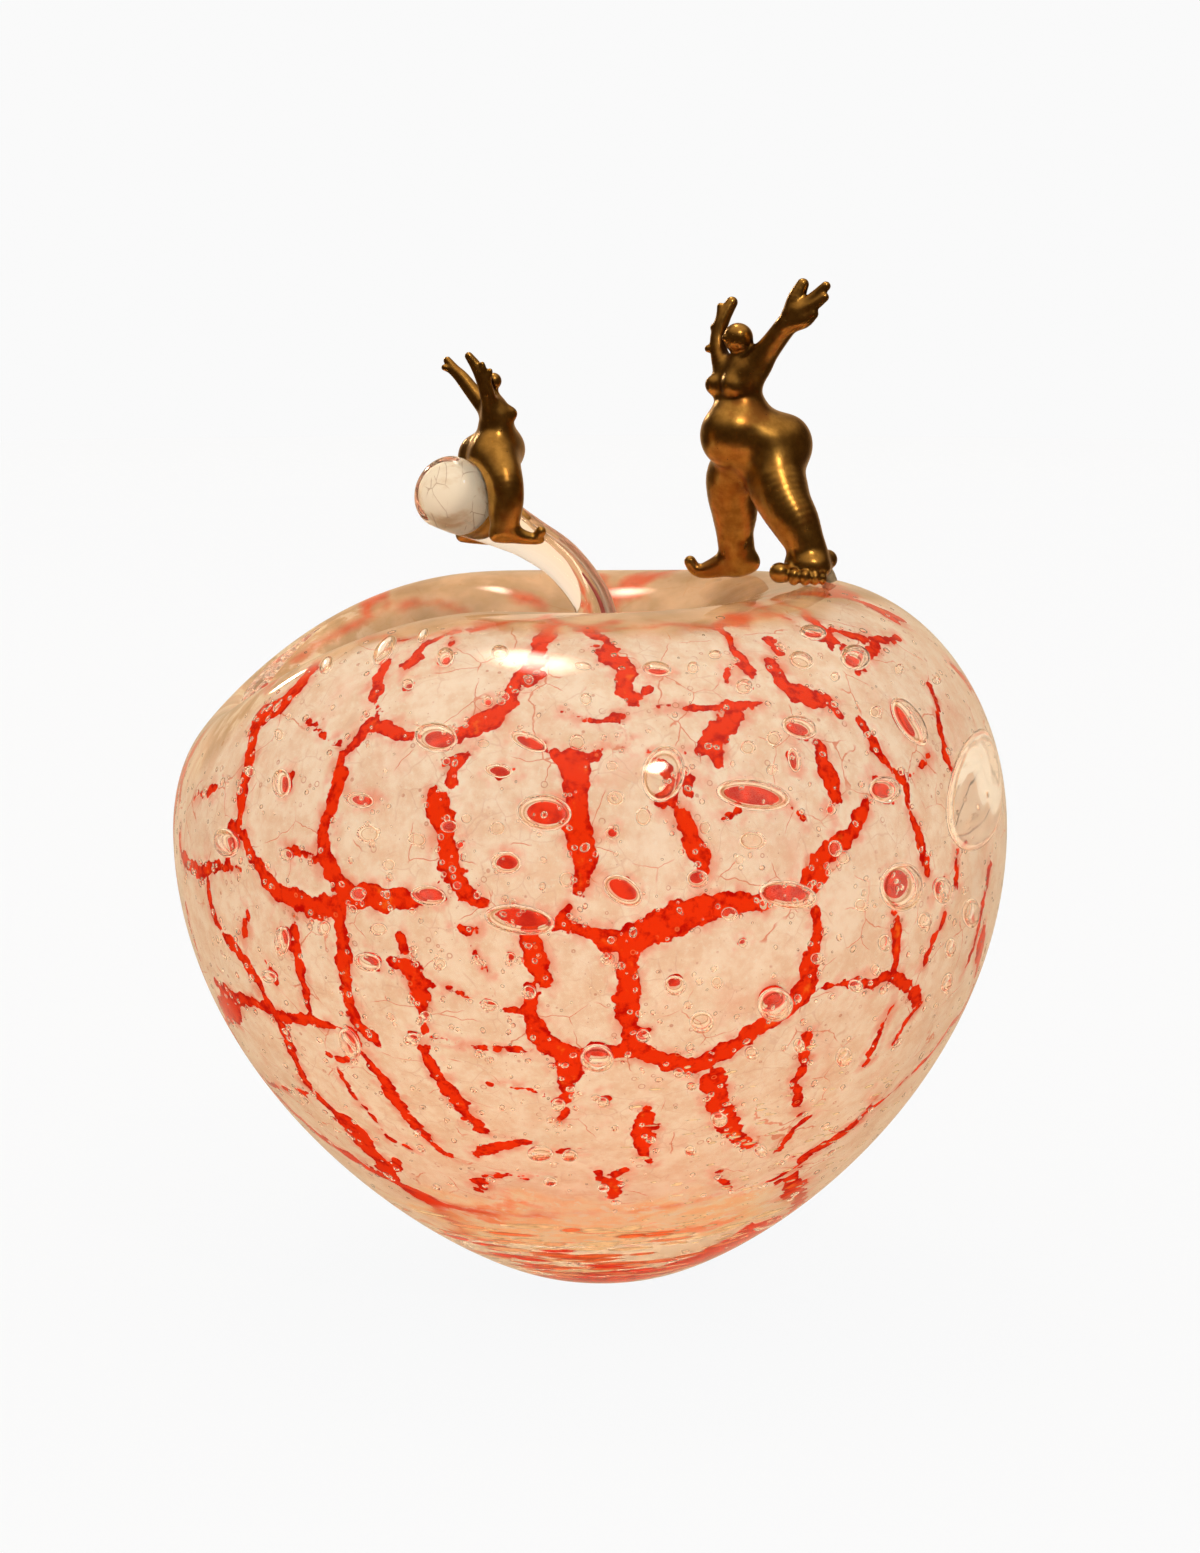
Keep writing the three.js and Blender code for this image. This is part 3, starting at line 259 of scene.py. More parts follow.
# each crack that the photograph shows: pixels along it, and its width there in pixels. Half a
# pixel covers HALF_PIXEL millimetres of the apple's front.
HALF_PIXEL = 0.131
CRACKS = [
    [(316, 660, 8), (305, 678, 16), (282, 705, 22), (259, 719, 18), (250, 754, 16),
     (243, 789, 15), (238, 824, 14)],
    [(244, 836, 12), (253, 860, 10), (271, 883, 18), (297, 901, 20), (329, 908, 17), (345, 900, 14)],
    [(364, 731, 10), (353, 748, 8), (342, 757, 9), (338, 784, 12), (329, 814, 14), (323, 838, 14),
     (326, 863, 15), (338, 882, 17), (356, 896, 22), (385, 898, 22), (416, 899, 12)],
    [(353, 748, 7), (366, 727, 12), (388, 729, 13), (412, 735, 8)],
    [(461, 734, 14), (476, 726, 18), (490, 720, 20), (505, 705, 16), (516, 688, 12), (534, 669, 9),
     (545, 660, 12)],
    [(470, 754, 8), (454, 765, 9), (451, 785, 6)],
    [(434, 790, 6), (439, 812, 21), (446, 845, 18), (455, 875, 20), (472, 897, 14), (494, 904, 4)],
    [(552, 754, 5), (572, 762, 20), (577, 790, 24), (574, 820, 22), (584, 852, 22), (583, 878, 15),
     (578, 888, 8)],
    [(620, 661, 12), (625, 684, 15), (633, 703, 14)],
    [(657, 705, 3), (696, 708, 6), (728, 707, 8), (760, 704, 5)],
    [(739, 717, 14), (722, 726, 18), (714, 744, 18), (718, 764, 8)],
    [(687, 755, 4), (700, 750, 8), (712, 740, 14)],
    [(769, 640, 8), (778, 652, 8)],
    [(771, 661, 10), (784, 684, 15), (803, 696, 20), (826, 700, 15), (842, 716, 9)],
    [(833, 629, 6), (857, 637, 10), (878, 641, 9), (897, 637, 6)],
    [(876, 643, 12), (870, 657, 6)],
    [(818, 745, 9), (826, 766, 17), (836, 796, 14)],
    [(860, 722, 8), (872, 742, 9), (888, 766, 9), (905, 785, 6), (909, 808, 8), (920, 838, 11),
     (927, 868, 13)],
    [(903, 772, 4), (918, 768, 3), (933, 755, 6)],
    [(932, 688, 4), (939, 720, 6), (945, 752, 9), (951, 768, 7)],
    [(867, 803, 10), (854, 830, 17), (836, 846, 12), (820, 864, 22), (811, 882, 20)],
    [(688, 782, 14), (689, 797, 8)],
    [(678, 812, 10), (693, 840, 16), (703, 862, 13), (700, 880, 6)],
    [(548, 922, 5), (575, 928, 9), (600, 938, 14), (627, 941, 22), (655, 929, 28), (690, 914, 27),
     (728, 905, 20), (760, 902, 14), (786, 893, 10)],
    [(815, 910, 8), (818, 938, 12), (810, 962, 18), (803, 990, 22), (784, 1012, 18),
     (754, 1031, 18), (721, 1053, 20), (693, 1066, 18), (660, 1058, 16), (632, 1050, 18),
     (600, 1056, 10), (567, 1060, 18)],
    [(894, 915, 8), (897, 938, 11), (895, 966, 5)],
    [(824, 987, 3), (842, 983, 5), (868, 984, 11), (894, 978, 12), (912, 990, 12), (920, 1004, 8)],
    [(945, 915, 5), (933, 942, 8), (921, 969, 4)],
    [(991, 863, 5), (985, 893, 7), (976, 939, 6), (963, 972, 4)],
    [(957, 848, 6), (957, 887, 5)],
    [(208, 878, 8), (211, 905, 10), (223, 932, 12), (244, 959, 13), (262, 992, 13), (280, 1022, 13),
     (292, 1052, 11), (307, 1084, 10), (331, 1109, 9), (358, 1129, 12), (373, 1150, 11), (400, 1172, 4)],
    [(216, 984, 8), (235, 996, 13), (255, 1003, 12), (282, 1016, 12), (312, 1019, 10), (338, 1029, 5)],
    [(295, 925, 6), (298, 959, 10), (304, 989, 7), (309, 1014, 6)],
    [(247, 905, 4), (245, 932, 7), (244, 940, 3)],
    [(340, 908, 14), (343, 938, 13), (344, 962, 14), (347, 992, 10), (358, 1022, 14), (374, 1038, 15)],
    [(402, 936, 8), (406, 952, 9)],
    [(388, 963, 8), (410, 968, 16), (418, 990, 18), (425, 1014, 8), (424, 1031, 5)],
    [(424, 1046, 8), (436, 1070, 14), (454, 1097, 14), (473, 1122, 8), (486, 1137, 3)],
    [(364, 1052, 8), (385, 1082, 12), (403, 1109, 12), (427, 1138, 9), (452, 1158, 4)],
    [(480, 1154, 10), (500, 1146, 13), (524, 1142, 9)],
    [(556, 1152, 5), (582, 1149, 7)],
    [(482, 1190, 8), (483, 1178, 7), (508, 1175, 5)],
    [(517, 1177, 4), (545, 1178, 5)],
    [(529, 936, 20), (536, 958, 22), (546, 984, 14)],
    [(532, 990, 12), (533, 1020, 14), (547, 1044, 20), (568, 1060, 24), (566, 1080, 14),
     (569, 1098, 8), (562, 1122, 3)],
    [(600, 1173, 5), (612, 1182, 12), (613, 1198, 8)],
    [(612, 1180, 8), (625, 1168, 4)],
    [(626, 950, 18), (628, 981, 18), (627, 1012, 20), (633, 1040, 18)],
    [(712, 1078, 20), (718, 1100, 20), (728, 1124, 20), (742, 1142, 16), (751, 1146, 6)],
    [(644, 1108, 4), (646, 1127, 18), (643, 1145, 14), (651, 1164, 4)],
    [(809, 1033, 9), (806, 1057, 10), (797, 1084, 8), (801, 1114, 5)],
    [(894, 1006, 5), (878, 1036, 5), (866, 1063, 4)],
    [(912, 1012, 4), (894, 1042, 4)],
    [(778, 1150, 9), (790, 1133, 5), (812, 1115, 3)],
    [(716, 1166, 3), (722, 1180, 5), (730, 1188, 4)],
    [(180, 838, 8), (184, 858, 12), (200, 872, 9), (214, 868, 10)],
    [(218, 868, 8), (238, 868, 3)],
    [(195, 798, 5), (212, 790, 4), (228, 784, 2)],
    [(386, 663, 9), (378, 680, 10), (374, 698, 6), (382, 716, 2)],
    [(455, 630, 4), (450, 645, 3)],
    [(288, 850, 5), (306, 854, 6), (322, 862, 6)],
    [(308, 722, 5), (330, 737, 4), (342, 750, 5)],
    [(186, 905, 5), (191, 930, 5), (200, 958, 3)],
    [(540, 656, 5), (525, 654, 2)],
    [(752, 603, 5), (770, 612, 5), (792, 620, 3)],
    [(575, 758, 6), (600, 752, 3), (630, 748, 2)],
    [(560, 924, 10), (569, 908, 5), (575, 932, 4)],
    [(455, 922, 2), (466, 934, 6), (478, 924, 5)],
    [(468, 942, 3), (478, 958, 5), (490, 975, 2)],
    [(424, 978, 2), (455, 992, 3), (490, 1003, 3), (515, 1010, 6), (532, 1014, 4)],
    [(432, 1036, 2), (465, 1046, 4), (500, 1048, 5), (530, 1052, 5)],
    [(488, 1083, 2), (520, 1088, 3), (548, 1096, 3)],
    [(331, 1059, 5), (345, 1058, 6), (356, 1056, 3)],
    [(334, 1064, 4), (350, 1092, 3), (372, 1118, 3), (392, 1140, 6), (412, 1150, 4)],
    [(266, 1082, 5), (290, 1090, 6), (308, 1094, 5)],
    [(742, 663, 2), (730, 668, 3), (727, 682, 2)],
    [(786, 800, 3), (806, 822, 3)],
    [(742, 812, 3), (722, 818, 3)],
    [(562, 712, 2), (585, 718, 3), (600, 719, 4), (612, 719, 9), (622, 718, 4)],
    [(618, 722, 3), (628, 735, 2)],
    [(648, 752, 3), (664, 762, 8), (673, 782, 12), (670, 800, 14), (655, 803, 6)],
    [(514, 595, 6), (530, 599, 16), (542, 604, 6)],
    [(604, 590, 8), (620, 594, 18), (640, 597, 12)],
    [(400, 607, 5), (425, 603, 8), (461, 610, 6)],
    [(296, 662, 3), (325, 640, 4), (365, 619, 4)],
]


def through(stations, steps):
    """A smooth run through stations of any numbers: a cubic between each pair of them."""
    points = np.array([stations[0], *stations, stations[-1]], dtype=float)
    s = np.linspace(0, 1, steps + 1)[:-1, None, None]
    a, b, c, d = points[:-3], points[1:-2], points[2:-1], points[3:]
    curve = (2 * b + (c - a) * s + (2 * a - 5 * b + 4 * c - d) * s ** 2
             + (3 * b - a - 3 * c + d) * s ** 3) / 2
    return np.concatenate([curve.transpose(1, 0, 2).reshape(-1, points.shape[1]), points[-1:]])


def from_rod(points, start, end):
    """Distance to a straight rod between two stations of x, y, z and radius: from the nearest
    point of its line, less the radius there."""
    run = end[:3] - start[:3]
    share = np.clip((points - start[:3]) @ run / (run @ run + 1e-9), 0, 1)
    away = np.linalg.norm(points - start[:3] - share[:, None] * run, axis=1)
    return away - lerp(start[3], end[3], share)


# "red" is the distance in millimetres to the nearest crack's edge, and less than 0 inside it.
# It is worked out within REACH of a crack, and a gap over LONGEST_RUN parts a crack in two.
NO_CRACK_NEAR, LONGEST_RUN, REACH = 60.0, 25, 14
body_points = vertices(body)
wander = np.stack([ripple(body_points, 9, seed) for seed in (1, 2, 3)], axis=1) * 0.45
red = np.full(len(body_points), NO_CRACK_NEAR)
for crack in CRACKS:
    landed = [(through_glass(across, down), width) for across, down, width in through(crack, 4)]
    line = np.array([[*hit[0], max(width, 1) * HALF_PIXEL] for hit, width in landed if hit])
    if len(line) < 2:
        continue
    low, high = line[:, :3].min(axis=0) - REACH, line[:, :3].max(axis=0) + REACH
    near = np.flatnonzero(np.all((body_points > low) & (body_points < high), axis=1))
    for start, end in zip(line[:-1], line[1:]):
        if np.linalg.norm(end[:3] - start[:3]) <= LONGEST_RUN:
            red[near] = np.minimum(red[near], from_rod(body_points[near] + wander[near], start, end))

# on the sides and the back, the cracks lie between the plates of the CAD model: a crack is
# where the two nearest plate directions, seen from inside the body, are about equally near
PLATES = [
    (30, 2.25), (130, 2.25), (215, 2.3), (300, 2.25), (222, 1.54), (246, 1.57), (268, 1.54),
    (289, 1.65), (312, 1.58), (328, 1.45), (20, 1.5), (90, 1.5), (155, 1.42), (208, 1.13),
    (224, 1.23), (242, 1.22), (259, 1.21), (276, 1.21), (293, 1.21), (310, 1.15), (328, 0.99),
    (358, 1.05), (42, 1.1), (92, 1.12), (145, 1.08), (198, 0.87), (224, 0.9), (242, 0.9),
    (254, 0.91), (268, 0.89), (286, 0.9), (308, 0.92), (330, 0.8), (20, 0.84), (70, 0.82),
    (118, 0.84), (165, 0.86), (204, 0.72), (226, 0.66), (243, 0.7), (257, 0.7), (274, 0.68),
    (296, 0.71), (315, 0.7), (10, 0.56), (90, 0.56), (150, 0.54), (246, 0.52), (290, 0.5), (0, 0),
]


def unit(vectors):
    """The vectors, each at length 1."""
    return vectors / np.linalg.norm(vectors, axis=1, keepdims=True)


plate_centre = np.array([-LEAN, 0, 105])
plate_rays = unit(apple(*np.array([(math.radians(a), s) for a, s in PLATES]).T) - plate_centre)
from_centre = body_points + wander * 3 - plate_centre
nearness = from_centre @ plate_rays.T
order = np.argsort(-nearness, axis=1)[:, :2]
first, second = (np.take_along_axis(nearness, order[:, [k]], axis=1)[:, 0] for k in (0, 1))
apart = np.linalg.norm(plate_rays[order[:, 0]] - plate_rays[order[:, 1]], axis=1)
crack_half_width = 1.5 + 1.3 * ripple(body_points, 45, 7)
between_plates = (first - second) / apart - crack_half_width
outward = point_vectors(body, "normal")
towards = camera_place - body_points
facing_front = np.sum(outward * towards, axis=1) / np.linalg.norm(towards, axis=1)
inner = (from_axis(body_points) < 44) * (body_points[:, 2] > 130)
in_dimple = np.clip(smooth(0.62, 0.9, outward[:, 2]) + inner, 0, 1)
front = smooth(0.0, 0.25, facing_front) * (1 - in_dimple)
red = np.minimum(red, between_plates + 9 * front)

# towards the rim, in the dimple and under the belly the layers are drawn out and blurred
azimuth_now = np.arctan2(body_points[:, 1], body_points[:, 0] + LEAN)
inside_rim = from_axis(body_points) - from_axis(apple(azimuth_now, 2))
softness = smooth(13, 4, inside_rim + 2 * ripple(body_points, 12, 21)
                  - 22 * smooth(-10, 25, body_points[:, 1]))
softness *= smooth(BELLY_HEIGHT + 2, BELLY_HEIGHT + 24,
                   body_points[:, 2] + 3 * ripple(body_points, 16, 23))
softness = np.maximum(softness, smooth(46, 40, body_points[:, 2] + 2 * ripple(body_points, 14, 22)))
mark(body, "soft", softness)


class Wire:
    """A socket of a material. Sums and products of wires and numbers add Math nodes."""

    def __init__(self, tree, socket=None):
        self.tree, self.socket = tree, socket

    def node(self, kind, inputs=None, out=0, **settings):
        """Add a node: its settings first, then the values or wires of its inputs."""
        new = self.tree.nodes.new(kind)
        for name, value in settings.items():
            setattr(new, name, value)
        for name, value in (inputs or {}).items():
            if isinstance(value, Wire):
                self.tree.links.new(value.socket, new.inputs[name])
            else:
                new.inputs[name].default_value = value
        return Wire(self.tree, new.outputs[out])

    def maths(self, operation, *others):
        return self.node("ShaderNodeMath", dict(enumerate([self, *others])), operation=operation)

    def __add__(self, other):
        return self.maths("ADD", other)

    __radd__ = __add__

    def __sub__(self, other):
        return self.maths("SUBTRACT", other)

    def __rsub__(self, other):
        return self * -1 + other

    def __mul__(self, other):
        return self.maths("MULTIPLY", other)

    __rmul__ = __mul__

    def step(self, low, high):
        """0 below low, 1 above high, smooth between."""
        return self.node("ShaderNodeMapRange", {0: self, 1: low, 2: high}, interpolation_type="SMOOTHSTEP")

    def colour(self, first, second):
        """The first colour where this wire is 0, the second where it is 1."""
        pair = [c if isinstance(c, Wire) else (*c, 1) for c in (first, second)]
        return self.node("ShaderNodeMix", {0: self, 6: pair[0], 7: pair[1]}, out=2, data_type="RGBA")

    def noise(self, size, detail=2, roughness=0.5, out="Fac"):
        """Noise about 0.5 with lumps of that size in millimetres; this wire is the place."""
        inputs = {"Vector": self, "Scale": 1000 / size, "Detail": detail, "Roughness": roughness}
        return self.node("ShaderNodeTexNoise", inputs, out=out)

    def cells(self, size, feature="F1", out="Distance"):
        """Voronoi cells of that size in millimetres; this wire is the place."""
        inputs = {"Vector": self, "Scale": 1000 / size}
        return self.node("ShaderNodeTexVoronoi", inputs, out=out, feature=feature)

    def vector(self, operation, *others):
        return self.node("ShaderNodeVectorMath", dict(enumerate([self, *others])), operation=operation)

    def part(self, axis):
        """The x, y or z of a vector wire, for axis 0, 1 or 2."""
        return self.node("ShaderNodeSeparateXYZ", {0: self}, out=axis)


def cleared(thing):
    """The node tree of a material, a lamp or the world, emptied, as a wire to build from."""
    thing.use_nodes = True
    thing.node_tree.nodes.clear()
    return Wire(thing.node_tree)


def material(name):
    """A new empty material, as a wire to build from, and its object coordinates."""
    made = bpy.data.materials.new(name)
    start = cleared(made)
    return made, start, start.node("ShaderNodeTexCoord", out="Object")


def marked(start, name):
    """The number that mark() stored under that name."""
    return start.node("ShaderNodeAttribute", out="Fac", attribute_name=name, attribute_type="GEOMETRY")


def finish_with(start, surface, output="ShaderNodeOutputMaterial"):
    """Join the last shader to the output node."""
    new = start.tree.nodes.new(output)
    start.tree.links.new(surface.socket, new.inputs["Surface"])


def finish_solid(start, colour, roughness, specular=0.5, **more):
    """End a material as an opaque surface of that colour, roughness and share of reflection."""
    finish_with(start, start.node("ShaderNodeBsdfPrincipled", {
        "Base Color": colour, "Roughness": roughness, "Specular IOR Level": specular, **more}))


def wear(thing, made):
    """Give a piece its material and its CAD body."""
    thing.data.materials.clear()
    thing.data.materials.append(made)
    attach(thing, "root")


enamel, start, place = material("crackled_enamel_over_red")
# red shows within a crack's edge, which small lobes roughen, or blurred in the soft zones
field, soft = marked(start, "red"), marked(start, "soft")
lobes = place.cells(3.4) * 1.7 + place.cells(1.6) * 0.8 - 1.52
edge = field + (place.noise(5, 3) - 0.5) * 1.6 + lobes
streaked = place.vector("MULTIPLY", (1, 1, 0.35))
blurred = field + (streaked.noise(9, 3) - 0.5) * 7
sharp_red = edge.step(0.10, -0.10)
in_red = sharp_red + (blurred.step(2.8, -2.6) * 0.85 - sharp_red) * soft
# the white plates: clouds, a blush along the edges, hairlines, rings and pinholes of burst air
bent = place.vector("ADD", place.noise(9, 3, out="Color").vector(
    "MULTIPLY_ADD", (0.005, 0.005, 0.005), (-0.0025, -0.0025, -0.0025)))
hair = bent.cells(15, "DISTANCE_TO_EDGE").step(0.012, 0.004) * place.noise(13, 2).step(0.50, 0.58)
fine_hair = bent.cells(6, "DISTANCE_TO_EDGE").step(0.035, 0.01) * place.noise(11, 2).step(0.45, 0.6)
blush = (edge.step(3.2, 0.1) * place.noise(5, 3).step(0.40, 0.64) * 0.75
         + place.noise(17, 4, 0.6).step(0.54, 0.74) * 0.25)
clouds = (place.noise(8, 5, 0.65) * 0.7 + place.noise(2.4, 4, 0.6) * 0.3).step(0.36, 0.62)
white = clouds.colour((0.89, 0.68, 0.53), (1.0, 0.89, 0.78))
white = (edge.step(2.8, 0.2) * place.noise(7, 3).step(0.40, 0.62) * 0.7).colour(white, (1.0, 0.92, 0.82))
white = (place.noise(0.8, 2).step(0.56, 0.72) * 0.4).colour(white, (1.0, 0.95, 0.88))
white = blush.colour(white, (0.88, 0.32, 0.22))
white = (fine_hair * 0.3).colour(white, (0.70, 0.42, 0.31))
spots = place.cells(4.4)
spot_size = start.node("ShaderNodeSeparateColor", {0: place.cells(4.4, out="Color")}) * 0.13 + 0.05
ring = (spots - spot_size).maths("ABSOLUTE").step(0.045, 0.012) * place.noise(7, 2).step(0.42, 0.55)
white = (ring * 0.6).colour(white, (0.58, 0.20, 0.11))
pinholes = place.cells(1.5).step(0.13, 0.07) * place.noise(6, 2).step(0.46, 0.56)
white = (pinholes * 0.6).colour(white, (0.48, 0.20, 0.12))
white = (hair * 0.75).colour(white, (0.76, 0.22, 0.12))
# the soft zones: tan and cream glass drawn out in streaks, more orange low down, with painted glints as
# cream flecks underneath
low_down = place.part(2).step(0.075, 0.05)
drawn_out = streaked.noise(13, 3).step(0.3, 0.7).colour((0.56, 0.33, 0.155), (0.86, 0.56, 0.32))
far_left = place.part(0).step(-0.055, -0.075)
streaks = place.vector("MULTIPLY", (1, 1, 0.25)).noise(6, 4, 0.6)
drawn_out = (streaks.step(0.50, 0.62) * far_left * 0.5).colour(drawn_out, (0.46, 0.27, 0.11))
drawn_out = (streaks.step(0.50, 0.38) * far_left * 0.8).colour(drawn_out, (1.0, 0.88, 0.66))
under_tint_and_glints = place.noise(6, 4, 0.6).step(0.38, 0.62).colour((1.0, 0.66, 0.36), (1.0, 0.90, 0.68))
under_tint_and_glints = (place.noise(15, 4, 0.6).step(0.54, 0.64) * 0.85).colour(under_tint_and_glints, (1.0, 0.26, 0.09))
# painted highlight: small cream flecks as glints on the underside
under_tint_and_glints = (place.noise(3.5, 4, 0.6).step(0.56, 0.62) * 0.9).colour(under_tint_and_glints, (1.0, 0.97, 0.84))
drawn_out = low_down.colour(drawn_out, under_tint_and_glints)
white = (soft * 0.85).colour(white, drawn_out)
# the red itself: mottling, darker near the crack edges as painted shade of the plates' edges, and painted
# orange glints (painted highlights) in the widest cracks
mottle_and_edge_shade = place.noise(3.4, 4, 0.65) + edge.step(-0.2, -1.6) * 0.12
glow = mottle_and_edge_shade.step(0.38, 0.62).colour((0.58, 0.003, 0.001), (0.92, 0.040, 0.004))
# painted highlight: orange glints in the middle of the widest cracks
glow = (place.noise(8, 4, 0.6).step(0.58, 0.72) * edge.step(-0.6, -1.8)).colour(glow, (1.0, 0.19, 0.02))
glow = (ring * 0.5).colour(glow, (1.0, 0.26, 0.09))
glow = (soft * 0.6).colour(glow, (0.84, 0.13, 0.045))
colour = in_red.colour(white, glow)
height = (edge.step(-0.5, 0.5) + place.noise(1.1, 3) * 0.06 - hair * 0.12 - ring * 0.1) * (1 - soft)
bump = start.node("ShaderNodeBump", {"Height": height, "Distance": 0.0006, "Strength": 0.5})
finish_solid(start, colour, 0.6, 0.0, Normal=bump)
wear(body, enamel)
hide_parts("red_bubble", *[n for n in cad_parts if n.startswith("crackle_plate_")])


# Clear casing: a thick gather of clear glass round the coloured body, fire-polished outside,
# with a ground foot. Warm by its tint. Light for the layers inside passes it unbent.
def finish_glass(start, tint, passing, **more):
    """End a material as clear glass, and as plain tinted transparency for shadow rays, so that
    light gets in."""
    clear = start.node("ShaderNodeBsdfPrincipled", {
        "Base Color": tint, "Transmission Weight": 1.0, "Roughness": 0.0, "IOR": GLASS_INDEX, **more})
    plain = start.node("ShaderNodeBsdfTransparent", {"Color": (*passing, 1)})
    shadow = start.node("ShaderNodeLightPath", out="Is Shadow Ray")
    finish_with(start, start.node("ShaderNodeMixShader", {0: shadow, 1: clear, 2: plain}))


def glass(name, tint, wave_size, wave_depth):
    """Clear glass of that tint with faint waves, their size in millimetres and depth in metres."""
    made, start, place = material(name)
    waves = start.node("ShaderNodeBump", {
        "Height": place.noise(wave_size, 2), "Distance": wave_depth, "Strength": 1.0})
    finish_glass(start, (*tint, 1), [0.5 + 0.5 * c for c in tint], Normal=waves)
    return made


wear(casing, glass("clear_glass", (1.0, 0.965, 0.92), 30, 0.0006))
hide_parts("clear_casing")


# Bubbles: air caught between the enamel and the clear gather, drawn out into lens shapes, and
# a spray of small ones along the cracks. Where a large one lies, it has kept the white off the
# red, so most show a red patch. Each is centre, width, height, tilt to the right, and 1 if red.
BUBBLES = [
    (438, 740, 44, 31, 6, 1), (529, 743, 40, 17, 24, 1), (499, 772, 28, 15, 8, 1),
    (545, 814, 56, 38, 5, 1), (507, 863, 31, 23, 8, 1), (361, 801, 29, 16, 12, 1),
    (285, 784, 18, 29, 0, 1), (230, 843, 24, 32, -25, 1), (430, 895, 36, 20, 8, 1),
    (521, 918, 72, 30, 7, 1), (328, 668, 12, 21, 28, 0), (386, 653, 16, 36, 33, 0),
    (423, 638, 9, 18, 36, 0), (446, 660, 18, 20, 20, 1), (500, 655, 18, 15, 0, 0),
    (409, 686, 12, 12, 0, 1), (370, 834, 23, 18, 0, 0), (418, 839, 19, 14, 20, 0),
    (390, 865, 14, 12, 0, 0), (360, 893, 16, 14, 0, 1), (450, 827, 17, 13, 0, 1),
    (498, 829, 16, 14, 0, 0), (567, 879, 16, 16, 0, 0), (380, 928, 18, 13, 0, 0),
    (285, 939, 16, 29, 0, 1), (326, 927, 13, 15, 0, 0), (370, 960, 28, 18, 16, 1),
    (441, 963, 13, 12, 0, 0), (271, 974, 16, 11, 30, 1), (288, 855, 13, 11, 20, 1),
    (252, 772, 11, 12, 0, 0), (281, 736, 10, 12, 0, 0), (447, 762, 9, 8, 0, 1),
    (484, 745, 12, 9, 0, 0), (504, 698, 12, 9, 20, 1), (488, 703, 11, 11, 0, 1),
    (529, 681, 10, 10, 0, 1), (577, 744, 17, 16, 0, 0), (586, 701, 12, 12, 0, 0),
    (583, 668, 17, 8, 5, 0), (467, 819, 10, 10, 0, 0), (461, 845, 9, 9, 0, 1),
    (458, 885, 9, 9, 0, 1), (511, 957, 11, 11, 0, 1),
    (657, 672, 30, 15, 9, 1), (743, 689, 18, 15, 0, 0), (715, 657, 14, 9, 0, 0),
    (693, 670, 12, 12, 0, 0), (812, 635, 28, 14, 10, 1), (800, 663, 26, 18, 22, 0),
    (853, 660, 32, 26, 20, 1), (797, 730, 37, 23, 18, 1), (793, 761, 13, 26, -8, 1),
    (751, 796, 76, 31, 8, 1), (751, 841, 28, 19, 6, 0), (747, 749, 16, 14, 0, 0),
    (773, 740, 16, 15, 0, 0), (771, 771, 12, 12, 0, 0), (696, 878, 22, 19, 8, 1),
    (622, 890, 43, 27, 30, 1), (612, 833, 14, 13, 0, 1), (643, 817, 16, 18, 0, 0),
    (615, 799, 18, 15, 0, 0), (612, 767, 12, 10, 0, 0), (785, 894, 60, 29, 8, 1),
    (881, 790, 33, 28, 14, 1), (897, 886, 44, 50, 10, 1), (939, 889, 19, 27, 0, 1),
    (968, 911, 18, 32, 0, 0), (922, 920, 14, 18, 10, 0), (906, 723, 24, 58, -34, 1),
    (874, 713, 13, 14, 0, 0), (978, 789, 62, 130, 8, 0), (842, 857, 14, 14, 0, 0),
    (830, 810, 11, 12, 0, 1), (833, 848, 14, 17, 0, 0), (860, 904, 15, 13, 0, 0),
    (882, 941, 13, 17, 0, 0), (948, 946, 11, 21, 10, 0), (945, 981, 11, 22, 22, 0),
    (772, 1000, 37, 33, -20, 1), (674, 983, 23, 19, 0, 1), (716, 981, 12, 12, 0, 0),
    (728, 913, 17, 14, 0, 0), (739, 859, 10, 10, 0, 0), (704, 828, 11, 13, 0, 0),
    (607, 957, 15, 12, 0, 1), (742, 942, 9, 9, 0, 1), (662, 776, 44, 58, 12, 0),
    (834, 678, 10, 10, 0, 0), (898, 670, 9, 14, 20, 0), (935, 681, 9, 11, 20, 0),
    (352, 1039, 18, 33, -28, 1), (413, 1036, 17, 12, 10, 1), (427, 1014, 12, 12, 0, 0),
    (490, 1003, 18, 11, 8, 0), (529, 990, 15, 14, 0, 1), (597, 1053, 34, 26, 6, 1),
    (541, 1148, 27, 13, 4, 0), (570, 1152, 17, 12, 0, 0), (559, 1102, 14, 12, 0, 1),
    (603, 1099, 12, 10, 0, 1), (418, 1131, 9, 9, 0, 1), (604, 1185, 14, 9, 0, 0),
    (550, 1179, 14, 8, 0, 0), (700, 1018, 24, 22, 0, 0), (643, 1033, 15, 13, 0, 1),
    (690, 1046, 10, 9, 0, 0), (678, 1070, 12, 10, 0, 0), (798, 1043, 13, 15, 0, 0),
    (842, 1053, 16, 20, 24, 0), (718, 1116, 17, 15, 0, 0), (691, 1148, 12, 10, 0, 0),
    (659, 1238, 15, 11, 0, 0), (759, 1147, 15, 13, 0, 0), (750, 1050, 14, 13, 0, 0),
    (854, 984, 16, 13, 0, 1), (816, 957, 14, 12, 0, 0), (874, 968, 10, 12, 0, 0),
]


def lenses(centres, rights, downs, deeps, rows, columns, power=1.0):
    """Pebbles from their centres and three half axes: cosines and sines of the turn along the
    first two, times the sine of the tilt to a power, and its cosine along the third. A power
    under 1 flattens the faces and rounds the rim."""
    tilt = np.linspace(0, math.pi, rows + 2)[1:-1][None, :, None, None]
    turn = np.linspace(0, 2 * math.pi, columns, endpoint=False)[None, None, :, None]
    around = rights[:, None, None] * np.cos(turn) + downs[:, None, None] * np.sin(turn)
    return centres[:, None, None] + around * np.sin(tilt) ** power + deeps[:, None, None] * np.cos(tilt)


